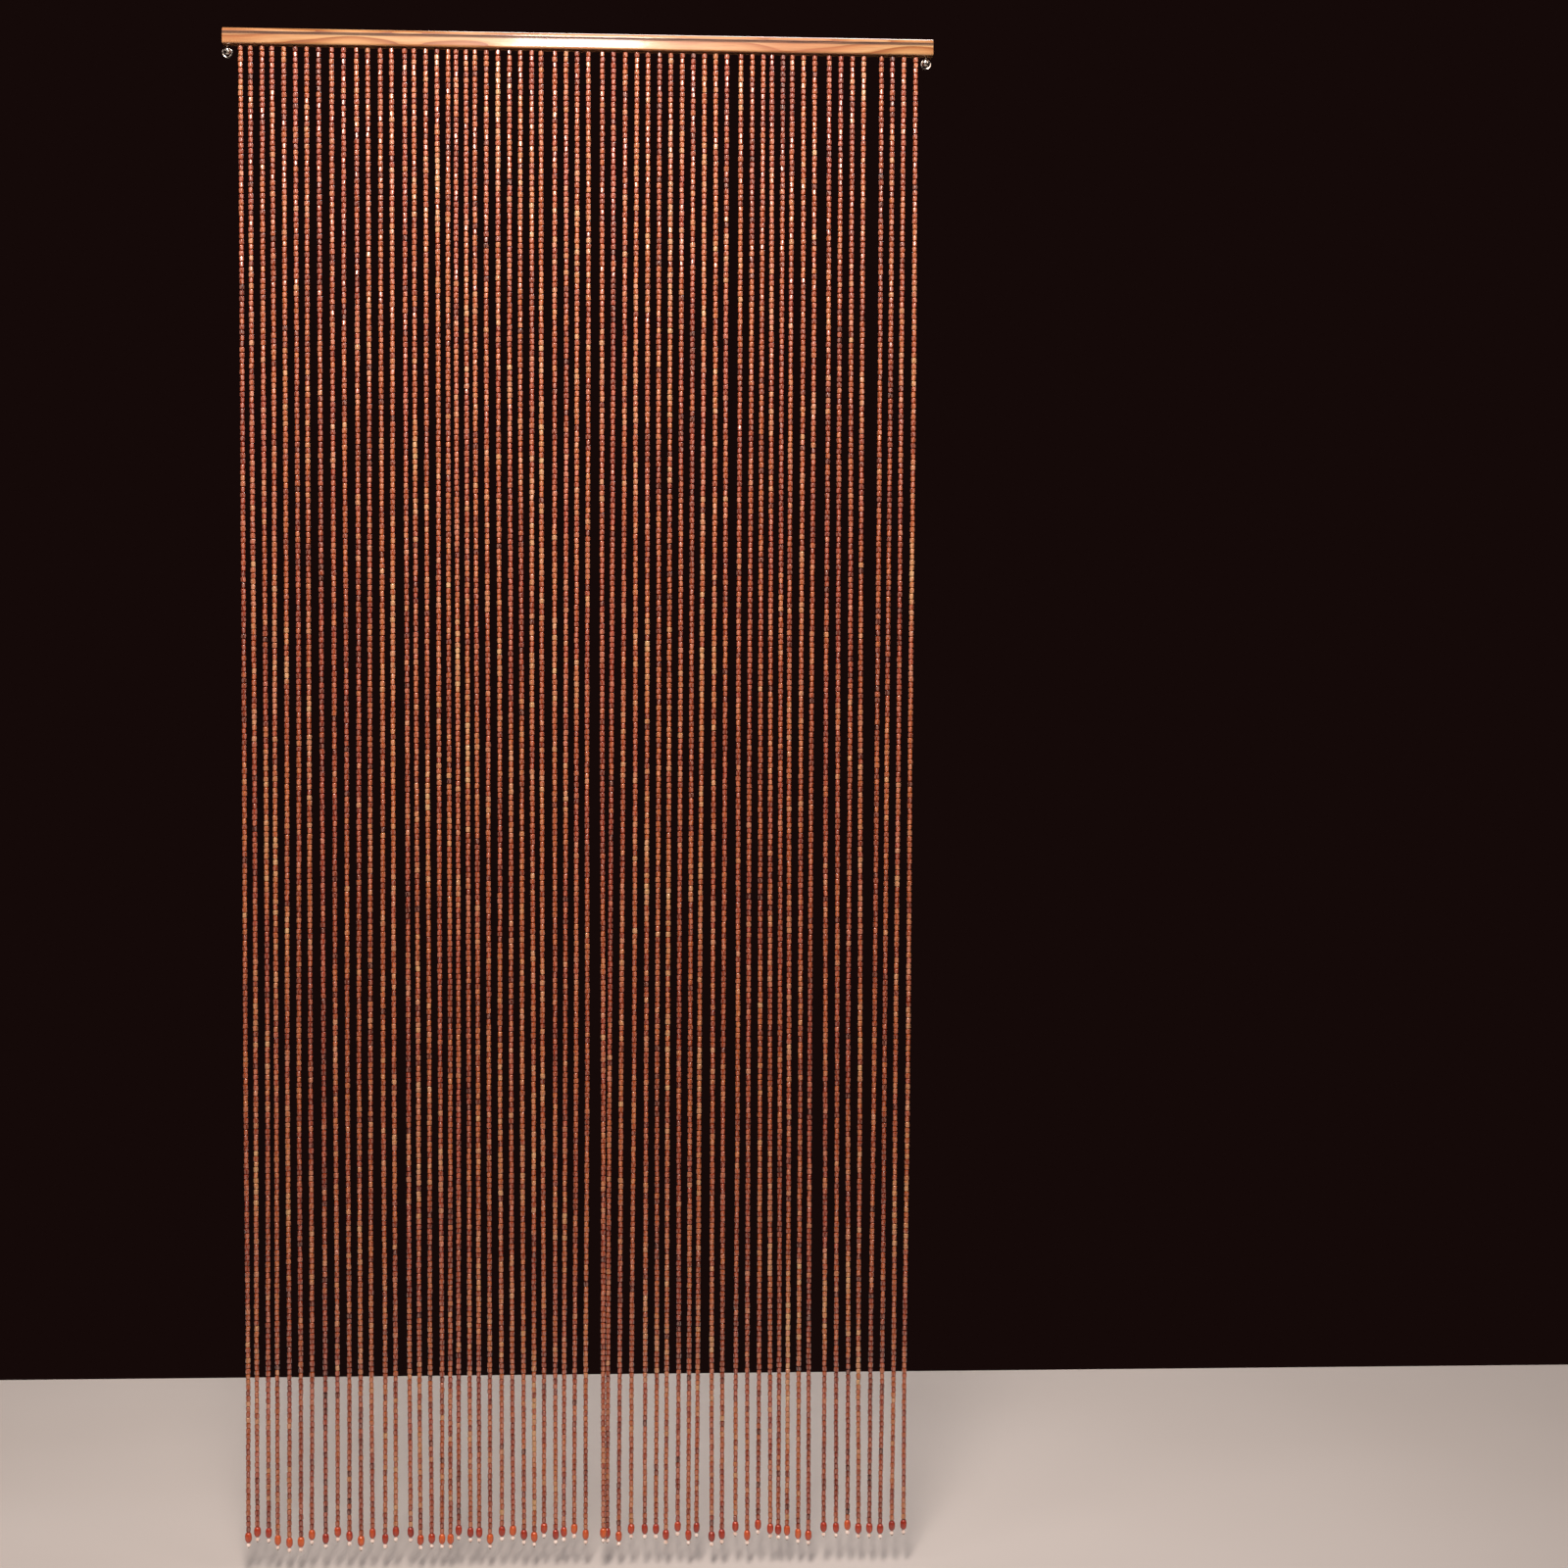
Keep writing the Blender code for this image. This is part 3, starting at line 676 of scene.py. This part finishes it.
def twisted_thread():
    """Brown twisted thread with slanted plies, and painted shade in the grooves between them."""
    made, tree, shader = new_material("twisted polyester thread")
    place = add(tree, "ShaderNodeTexCoord").outputs["Object"]
    in_mm = add(tree, "ShaderNodeMapping", {"Vector": place, "Scale": (1000, 1000, 1000)}).outputs[0]
    plies = add(
        tree, "ShaderNodeTexWave",
        {"Vector": in_mm, "Scale": 1 / TWIST_LENGTH, "Distortion": 0.4, "Detail": 1.0},
        bands_direction="DIAGONAL",
    ).outputs["Fac"]
    # Painted shade: the colour is darkest where the plies' wave is lowest, in the grooves between the plies.
    colour = add(
        tree, "ShaderNodeValToRGB", {"Fac": plies}, stops=[(0.1, "#2E160C"), (0.9, "#6A3A20")]
    )
    tree.links.new(colour.outputs["Color"], shader.inputs["Base Color"])
    bump = add(tree, "ShaderNodeBump", {"Height": plies, "Strength": 0.8, "Distance": 0.15 * MM})
    tree.links.new(bump.outputs[0], shader.inputs["Normal"])
    shader.inputs["Roughness"].default_value = 0.6
    shader.inputs["Sheen Weight"].default_value = 0.3
    return made


def pearl_lacquer():
    """Pale pearl lacquer over moulded plastic."""
    made, tree, shader = new_material("pearl lacquered plastic")
    place = add(tree, "ShaderNodeTexCoord").outputs["Object"]
    in_mm = add(tree, "ShaderNodeMapping", {"Vector": place, "Scale": (1000, 1000, 1000)}).outputs[0]
    clouds = add(
        tree, "ShaderNodeTexNoise", {"Vector": in_mm, "Scale": 0.25, "Detail": 2.0}
    ).outputs["Fac"]
    colour = add(
        tree, "ShaderNodeValToRGB", {"Fac": clouds},
        stops=[(0.3, "#E2C6B6"), (0.5, "#F4E4DA"), (0.7, "#FFF7F0")],
    )
    tree.links.new(colour.outputs["Color"], shader.inputs["Base Color"])
    rough = add(tree, "ShaderNodeMapRange", {"Value": clouds, "To Min": 0.16, "To Max": 0.32})
    tree.links.new(rough.outputs["Result"], shader.inputs["Roughness"])
    shader.inputs["IOR"].default_value = 1.53
    shader.inputs["Coat Weight"].default_value = 0.6
    shader.inputs["Coat Roughness"].default_value = 0.08
    return made


def floor_paint():
    """The floor: pale paint with the faintest clouds, so that it isn't one flat tone."""
    made, tree, shader = new_material("pale matt floor paint")
    clouds = add(tree, "ShaderNodeTexNoise", {"Scale": 3.0, "Detail": 2.0}).outputs["Fac"]
    colour = add(
        tree, "ShaderNodeValToRGB", {"Fac": clouds}, stops=[(0.3, "#C4BFB8"), (0.7, "#CFCBC5")]
    )
    tree.links.new(colour.outputs["Color"], shader.inputs["Base Color"])
    shader.inputs["Roughness"].default_value = 0.65
    return made


THREAD = twisted_thread()
PEARL = pearl_lacquer()
floor.data.materials.append(floor_paint())
print("materials:", sorted(material.name for material in bpy.data.materials))

# %% [markdown]
# ## Finish on the pieces that are already there
#
# The rail, the eyes and the screws have their true shape, so they stay and only change their
# material. Their solids are faceted, and a modifier softens that: it welds the triangles' corners,
# drops the flat normals they came with and shades the surface smooth, except where two faces meet
# at more than 35 degrees. It changes how light runs over the faces, and moves none of them.

# %% Finish the rail, the eyes and the screws
SHARP_FROM = math.radians(35)


def smooth_shading():
    """A geometry node group that shades a faceted mesh smooth between its sharp edges."""
    tree = bpy.data.node_groups.new("smooth shading", "GeometryNodeTree")
    tree.interface.new_socket("Geometry", in_out="INPUT", socket_type="NodeSocketGeometry")
    tree.interface.new_socket("Geometry", in_out="OUTPUT", socket_type="NodeSocketGeometry")
    came = add(tree, "NodeGroupInput").outputs[0]
    welded = add(tree, "GeometryNodeMergeByDistance", {"Geometry": came, "Distance": 0.001 * MM})
    bare = add(
        tree, "GeometryNodeRemoveAttribute", {"Geometry": welded.outputs[0], "Name": "custom_normal"}
    )
    smooth = add(tree, "GeometryNodeSetShadeSmooth", {"Geometry": bare.outputs[0]}, domain="FACE")
    corner = add(tree, "GeometryNodeInputMeshEdgeAngle").outputs["Unsigned Angle"]
    sharp = add(tree, "FunctionNodeCompare", {0: corner, 1: SHARP_FROM}, operation="GREATER_THAN")
    edged = add(
        tree, "GeometryNodeSetShadeSmooth",
        {"Geometry": smooth.outputs[0], "Selection": sharp.outputs[0], "Shade Smooth": False},
        domain="EDGE",
    )
    add(tree, "NodeGroupOutput", {0: edged.outputs[0]})
    return tree


SMOOTH_SHADING = smooth_shading()
FINISHES = {
    "rail": RAIL_WOOD,
    "screw_eye_left": NICKEL,
    "screw_eye_right": NICKEL,
    "screw_left": NICKEL,
    "screw_right": NICKEL,
}
for node_name, finish in FINISHES.items():
    solid = frame["nodes"][node_name]
    solid.material_slots[0].material = finish
    solid.modifiers.new("smooth shading", "NODES").node_group = SMOOTH_SHADING
print("finished:", list(FINISHES))

# %% [markdown]
# ## How sixteen thousand beads are made
#
# Every bead could be its own object, but then the file would be slow and heavy. Instead one bead
# is made as a pattern of points, and numpy copies it along each string, turning, tilting and
# stretching each copy a little. The copies of one string become one mesh.
#
# A bead, an end bead and a stop ball are all made the same way: as a stack of rings of corners,
# closed at both ends. The first function gives the points and faces of such a stack.

# %% A body made of rings
def ring_stack(rings):
    """Points and faces of a closed body from rings of equally many corners, lowest ring first."""
    sides = len(rings[0])
    faces = [list(range(sides))[::-1]]
    for band in range(len(rings) - 1):
        low, high = band * sides, (band + 1) * sides
        for k in range(sides):
            after = (k + 1) % sides
            faces.append([low + k, low + after, high + after, high + k])
    faces.append(list(range((len(rings) - 1) * sides, len(rings) * sides)))
    return np.concatenate(rings), faces


def round_ring(height, radius, sides):
    """The corners of a round ring."""
    angles = 2 * math.pi * np.arange(sides) / sides
    return np.column_stack([radius * np.cos(angles), radius * np.sin(angles), np.full(sides, height)])


# %% [markdown]
# Light shows a tumbled bead's shape more than its outline does: flat sides that end softly in
# round edges. Each corner's normal is the mean of the faces around it, and each face counts by
# the square of its area.
# The large flat sides win, so they shade flat, and the narrow faces between them shade round.

# %% Normals that keep large faces flat
def weighted_normals(points, faces):
    """A normal for each point: the mean of its faces' normals, weighted by area squared."""
    normals = np.zeros_like(points)
    for face in faces:
        corners = points[face]
        area = np.cross(corners, np.roll(corners, -1, axis=0)).sum(axis=0) / 2
        normals[face] += area * np.linalg.norm(area)
    return normals / np.linalg.norm(normals, axis=1)[:, None]


# %% [markdown]
# Each copy also needs its own patch of a texture, so that a baked picture can hold its colours.
# A stack of rings unrolls into a rectangle, and its two ends lie below it. Every copy gets one
# cell of a square grid.

# %% Unroll a stack of rings
STRIP_LOW, STRIP_HIGH, CELL_EDGE = 0.36, 0.96, 0.04
END_MIDDLES, END_SIZE = ((0.26, 0.18), (0.74, 0.18)), 0.13


def unrolled(points, faces, sides):
    """Each face corner's place in a cell from 0 to 1, in the order of the faces."""
    rings = points.reshape(-1, sides, 3)
    steps = np.linalg.norm(np.diff(rings[:, 0], axis=0), axis=1)
    heights = np.concatenate([[0.0], np.cumsum(steps)]) / steps.sum()
    widest = rings[np.linalg.norm(rings[:, :, :2], axis=2).max(axis=1).argmax()]
    widths = np.linalg.norm(np.roll(widest, -1, axis=0) - widest, axis=1)
    around = np.concatenate([[0.0], np.cumsum(widths)]) / widths.sum()
    around = CELL_EDGE + around * (1 - 2 * CELL_EDGE)
    heights = STRIP_LOW + heights * (STRIP_HIGH - STRIP_LOW)
    placed = []
    for number, face in enumerate(faces):
        if number in (0, len(faces) - 1):
            middle = END_MIDDLES[number > 0]
            flat = points[face][:, :2]
            placed += (middle + flat / np.abs(flat).max() * END_SIZE).tolist()
        else:
            band, k = divmod(number - 1, sides)
            low, high = heights[band], heights[band + 1]
            placed += [[around[k], low], [around[k + 1], low], [around[k + 1], high], [around[k], high]]
    return np.array(placed)


# %% [markdown]
# The last two helpers place the copies and turn the arrays into a mesh. Blender reads whole
# arrays with `foreach_set`, which takes a fraction of a second where a loop would take minutes.

# %% Place copies, and make one mesh of them
def stand_along(up, spin, lean):
    """A turning matrix for each copy: standing along its line, spun about it, leaning a little."""
    w = up + np.column_stack([lean, np.zeros(len(up))])
    w /= np.linalg.norm(w, axis=1)[:, None]
    u = np.cross([0.0, 1.0, 0.0], w)
    u /= np.linalg.norm(u, axis=1)[:, None]
    v = np.cross(w, u)
    c, s = np.cos(spin)[:, None], np.sin(spin)[:, None]
    return np.stack([u * c + v * s, v * c - u * s, w], axis=2)


def turned(frames, vectors):
    """Vectors of each copy, turned as the copy is."""
    return np.einsum("nij,nkj->nki", frames, vectors)


def joined_mesh(name, points, faces, cell_corners=None):
    """One mesh of all copies. points is (copies, corners, 3), and faces are one copy's."""
    copies, corners = points.shape[:2]
    one_copy = np.concatenate([np.array(face) for face in faces])
    loops = (one_copy[None, :] + corners * np.arange(copies)[:, None]).ravel()
    lengths = np.tile([len(face) for face in faces], copies)
    mesh = bpy.data.meshes.new(name)
    mesh.vertices.add(copies * corners)
    mesh.vertices.foreach_set("co", points.astype(np.float32).ravel())
    mesh.loops.add(len(loops))
    mesh.loops.foreach_set("vertex_index", loops.astype(np.int32))
    mesh.polygons.add(len(lengths))
    starts = np.concatenate([[0], np.cumsum(lengths)[:-1]])
    mesh.polygons.foreach_set("loop_start", starts.astype(np.int32))
    mesh.polygons.foreach_set("use_smooth", np.ones(len(lengths), bool))
    if cell_corners is not None:
        grid = math.ceil(math.sqrt(copies))
        cell = np.column_stack([np.arange(copies) % grid, np.arange(copies) // grid])
        places = (cell[:, None, :] + cell_corners[None, :, :]) / grid
        unwrapped = mesh.uv_layers.new(name="OFBake")
        unwrapped.data.foreach_set("uv", places.astype(np.float32).ravel())
    mesh.update(calc_edges=True)
    return mesh


def carry(mesh, name, kind, values):
    """Gives a mesh an attribute with a value for each point."""
    made = mesh.attributes.new(name, kind, "POINT")
    made.data.foreach_set("value" if kind == "FLOAT" else "vector", values.astype(np.float32).ravel())


def hang(mesh, finish):
    """Makes a mesh a piece of the curtain, standing in for the comb."""
    mesh.materials.append(finish)
    piece = bpy.data.objects.new(mesh.name, mesh)
    bpy.context.scene.collection.objects.link(piece)
    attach(piece, "root")
    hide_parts("bead_strings")
    return piece


# %% [markdown]
# ## One bead
#
# The bead is a square strip's end with its edges tumbled off: eight sides, four broad and four
# narrow, and four rings, of which the outer two are smaller. That is sixty triangles, which is
# as fine as sixteen thousand beads may be. What is finer than that is in the material.

# %% The pattern of a bead
BEAD_WIDTH_SHARE = 0.93  # of the string's thickness: beads stand askew, and make it thicker
BEAD_HALF_WIDTH = BEAD_WIDTH_SHARE * RADII["first"]
BEAD_LENGTH = 7.03 * MM  # on average, and then scaled a little so that the beads fill the string
BODY_SHARE = 0.66  # of the half length, up to where the shoulders begin
END_WIDTH = 0.68  # of the half width, at the very ends
EDGE_CUT = {"body": 0.42, "end": 0.46}  # of the half width, tumbled off each edge


def eight_sided(height, half_width, cut):
    """A square ring with its corners cut off."""
    near = half_width * (1 - cut)
    corners = [(half_width, -near), (half_width, near), (near, half_width), (-near, half_width)]
    corners += [(-x, -y) for x, y in corners]
    return np.array([(x, y, height) for x, y in corners])


BEAD_POINTS, BEAD_FACES = ring_stack([
    eight_sided(-1.0, END_WIDTH, EDGE_CUT["end"]),
    eight_sided(-BODY_SHARE, 1.0, EDGE_CUT["body"]),
    eight_sided(BODY_SHARE, 1.0, EDGE_CUT["body"]),
    eight_sided(1.0, END_WIDTH, EDGE_CUT["end"]),
])
BEAD_SIZE = np.array([BEAD_HALF_WIDTH, BEAD_HALF_WIDTH, BEAD_LENGTH / 2])
BEAD_NORMALS = weighted_normals(BEAD_POINTS * BEAD_SIZE, BEAD_FACES)
BEAD_CELL = unrolled(BEAD_POINTS * BEAD_SIZE, BEAD_FACES, 8)
print("a bead:", len(BEAD_POINTS), "corners,", len(BEAD_FACES), "faces,", (BEAD_SIZE * 2 / MM).round(2), "mm")

# %% [markdown]
# ## Sixty strings of beads
#
# The beads of a string touch end to end from the rail to the end bead. Their lengths differ by a
# few per cent, and are then scaled to fill the string exactly. Each bead is turned at random
# about the thread, leans a degree or two and sits a little off the line, because its hole is
# wider than the thread. That is what makes the strings glitter: each side catches the light at
# its own angle.

# %% Thread the beads
LENGTH_SPREAD = 0.06
WIDTH_SPREAD = 0.05
LEAN_SPREAD = math.radians(2.2)
LOOSENESS = 0.16 * MM
CORNER_SPREAD = 0.05 * MM  # no two corners are tumbled alike
BEAD_GAP = 0.1 * MM
WOOD_BLOCK = 400.0  # mm, from which each bead's grain is taken
DRIFT_BEADS = 31


def bead_line(rings):
    """The middle, length and upward direction of each bead of a string."""
    top, bottom = rings["neck"][2], rings["last"][2]
    count = round((top - bottom) / (BEAD_LENGTH + BEAD_GAP))
    lengths = 1 + CHANCE.uniform(-LENGTH_SPREAD, LENGTH_SPREAD, count)
    lengths *= (top - bottom) / lengths.sum()
    heights = top - np.cumsum(lengths) + lengths / 2
    middles, downward = line_at(rings, heights)
    return middles, lengths - BEAD_GAP, -downward


def drift(count):
    """A slow change along a string, about one unit up and down over some thirty beads."""
    steps = CHANCE.normal(0.0, 1.0, count + 2 * DRIFT_BEADS)
    window = np.hanning(DRIFT_BEADS)
    return np.convolve(steps, window / np.linalg.norm(window), mode="same")[DRIFT_BEADS:-DRIFT_BEADS]


def dye(count):
    """How much dye each bead took and how red it went: most are middling, a few dark or pale."""
    stain = 0.4 + CHANCE.normal(0.0, 0.04) + 0.07 * drift(count) + CHANCE.normal(0.0, 0.12, count)
    dark = CHANCE.random(count) < 0.06
    stain[dark] += CHANCE.uniform(0.2, 0.4, dark.sum())
    redness = 0.45 + CHANCE.normal(0.0, 0.12) + 0.25 * drift(count) + CHANCE.normal(0.0, 0.2, count)
    return np.clip(stain, 0.0, 0.95), np.clip(redness, 0.0, 1.0)


def string_of_beads(number, rings):
    """All small beads of one string as one mesh."""
    middles, lengths, up = bead_line(rings)
    count = len(middles)
    sizes = np.tile(BEAD_SIZE, (count, 1))
    sizes *= 1 + CHANCE.uniform(-WIDTH_SPREAD, WIDTH_SPREAD, (count, 3))
    sizes[:, 2] = lengths / 2
    frames = stand_along(
        up, CHANCE.uniform(0, math.pi / 2, count), CHANCE.normal(0, LEAN_SPREAD, (count, 2))
    )
    middles[:, :2] += CHANCE.uniform(-LOOSENESS, LOOSENESS, (count, 2))
    shaped = BEAD_POINTS[None] * sizes[:, None, :]
    shaped[:, :, :2] += CHANCE.uniform(-CORNER_SPREAD, CORNER_SPREAD, (*shaped.shape[:2], 2))
    points = turned(frames, shaped) + middles[:, None, :]
    mesh = joined_mesh(f"string_{number:02d}", points, BEAD_FACES, BEAD_CELL)
    normals = turned(frames, np.tile(BEAD_NORMALS, (count, 1, 1)))
    mesh.normals_split_custom_set_from_vertices(normals.reshape(-1, 3).tolist())
    stain, redness = dye(count)
    corners = len(BEAD_POINTS)
    carry(mesh, "stain", "FLOAT", np.repeat(stain, corners))
    carry(mesh, "redness", "FLOAT", np.repeat(redness, corners))
    carry(mesh, "bead_place", "FLOAT_VECTOR", np.tile(BEAD_POINTS, (count, 1, 1)))
    block = CHANCE.uniform(0, WOOD_BLOCK, (count, 1, 3))
    carry(mesh, "grain_at", "FLOAT_VECTOR", shaped / MM + block)
    return mesh, count


BEADS_ON = []
for number, rings in enumerate(STRINGS, start=1):
    beads, count = string_of_beads(number, rings)
    hang(beads, BEAD_WOOD)
    BEADS_ON.append(count)
print("beads:", sum(BEADS_ON), "from", min(BEADS_ON), "to", max(BEADS_ON), "a string")

# %% [markdown]
# ## End beads and stop balls
#
# Each string ends in a larger oval bead, turned on a lathe from the same wood, and a small pale
# ball under it, on which the knot sits. Both are round, so a plain stack of round rings does.

# %% The foot of each string
END_BEAD_SHARES = [(-1.0, 0.3), (-0.9, 0.6), (-0.66, 0.86), (-0.28, 1.0)]
END_BEAD_SHARES += [(-height, radius) for height, radius in END_BEAD_SHARES[::-1]]
BALL_SHARES = [(-0.95, 0.31), (-0.75, 0.66), (-0.3, 0.95), (0.3, 0.95), (0.75, 0.66), (0.95, 0.31)]
TURNED_SIDES = 12
END_BEAD_WIDTHS = (0.93, 1.02)  # least and most, of the width the comb gives
BALL_SIZES = (0.98, 1.12)


def turned_pattern(shares):
    """The points, faces and texture cell of a turned body, one unit in radius and half length."""
    rings = [round_ring(height, radius, TURNED_SIDES) for height, radius in shares]
    points, faces = ring_stack(rings)
    return points, faces, unrolled(points, faces, TURNED_SIDES)


def row_of(name, pattern, middles, sizes, lean_spread=0.0):
    """One mesh of a turned body at each place, and each copy's points in its own shape."""
    points, faces, cell = pattern
    count = len(middles)
    frames = stand_along(
        np.tile([0.0, 0.0, 1.0], (count, 1)),
        CHANCE.uniform(0, 2 * math.pi, count),
        CHANCE.normal(0, lean_spread, (count, 2)) if lean_spread else np.zeros((count, 2)),
    )
    shaped = points[None] * sizes[:, None, :]
    mesh = joined_mesh(name, turned(frames, shaped) + middles[:, None, :], faces, cell)
    return mesh, shaped


def end_beads():
    """The oval bead at the foot of each string."""
    tops = np.array([rings["last"] for rings in STRINGS])
    tips = np.array([rings["tip"] for rings in STRINGS])
    count = len(tops)
    half = (tops[:, 2] - tips[:, 2]) / 2 - BEAD_GAP
    wide = RADII["end_bead_top"] * CHANCE.uniform(*END_BEAD_WIDTHS, count)
    pattern = turned_pattern(END_BEAD_SHARES)
    sizes = np.column_stack([wide, wide, half])
    mesh, shaped = row_of("end_beads", pattern, (tops + tips) / 2, sizes, math.radians(1.5))
    corners = len(pattern[0])
    carry(mesh, "stain", "FLOAT", np.repeat(CHANCE.uniform(0.2, 0.65, count), corners))
    carry(mesh, "grain_at", "FLOAT_VECTOR", shaped / MM + CHANCE.uniform(0, WOOD_BLOCK, (count, 1, 3)))
    return mesh


def stop_balls():
    """The small pale ball under each end bead."""
    middles = np.array([rings["ball"] for rings in STRINGS])
    size = RADII["ball"] * CHANCE.uniform(*BALL_SIZES, len(middles))
    return row_of("stop_balls", turned_pattern(BALL_SHARES), middles, np.column_stack([size] * 3))[0]


hang(end_beads(), TURNED_WOOD)
hang(stop_balls(), PEARL)
print("end beads and stop balls:", len(STRINGS), "each")

# %% [markdown]
# ## Thread and knots
#
# One thread runs through all the beads of a string, from a knot in the rail's groove to a knot
# under the stop ball. It shows at the neck under the rail, and as a dark line where two beads
# meet. The knots sit side by side in the groove, on a heading cord that runs along it.

# %% Threads, knots and the heading cord
THREAD_SIDES = 5
THREAD_RADIUS = 0.75 * RADII["neck"]
KNOT_UP = 2.0 * MM  # how far a top knot's middle is up in the groove
KNOT_SIZE = (1.15 * MM, 1.15 * MM, 0.9 * MM)
HEADING_CORD_RADIUS = 0.9 * MM
KNOT_SHARES = [(-1.0, 0.4), (-0.4, 1.0), (0.4, 1.0), (1.0, 0.4)]
KNOT_SIDES = 6


def threads():
    """The thread of each string, a thin tube along its line."""
    places = []
    for rings in STRINGS:
        line = [rings["foot"], rings["tip"]]
        line += [rings[name] for name in THROUGH[::-1]]
        line.append(rings["neck"] + np.array([0.0, 0.0, KNOT_UP]))
        places.append(line)
    places = np.array(places)
    round_it = round_ring(0.0, THREAD_RADIUS, THREAD_SIDES)
    points = (places[:, :, None, :] + round_it[None, None]).reshape(len(places), -1, 3)
    faces = ring_stack([round_it] * places.shape[1])[1]
    return joined_mesh("threads", points, faces)


def knots():
    """The knots in the groove and under the stop balls."""
    tops = np.array([rings["neck"] for rings in STRINGS]) + [0.0, 0.0, KNOT_UP]
    feet = np.array([rings["foot"] for rings in STRINGS])
    sizes = np.tile(KNOT_SIZE, (2 * len(STRINGS), 1))
    sizes *= CHANCE.uniform(0.9, 1.05, sizes.shape)
    rings = [round_ring(height, radius, KNOT_SIDES) for height, radius in KNOT_SHARES]
    points, faces = ring_stack(rings)
    pattern = (points, faces, unrolled(points, faces, KNOT_SIDES))
    return row_of("knots", pattern, np.concatenate([tops, feet]), sizes, math.radians(12))[0]


def heading_cord():
    """The cord along the groove that holds the knots."""
    first = STRINGS[0]["neck"] + [0.0, 0.0, KNOT_UP]
    last = STRINGS[-1]["neck"] + [0.0, 0.0, KNOT_UP]
    path = bpy.data.curves.new("heading_cord", "CURVE")
    path.dimensions = "3D"
    path.bevel_depth = HEADING_CORD_RADIUS
    path.bevel_resolution = 1
    path.use_fill_caps = True
    spline = path.splines.new("POLY")
    spline.points.add(1)
    spline.points[0].co = (*first, 1.0)
    spline.points[1].co = (*last, 1.0)
    return path


hang(threads(), THREAD)
hang(knots(), THREAD)
hang(heading_cord(), THREAD)

# %% [markdown]
# ## Count
#
# The pieces added here are counted, with their triangles.

# %% Count the triangles
def triangles(piece):
    """How many triangles a piece has."""
    if piece.type != "MESH":
        return 0
    piece.data.calc_loop_triangles()
    return len(piece.data.loop_triangles)


ADDED = [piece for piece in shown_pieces() if "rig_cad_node" not in piece]
COUNTS = [triangles(piece) for piece in ADDED]
print("pieces added:", len(ADDED), "triangles:", sum(COUNTS), "most in one:", max(COUNTS))
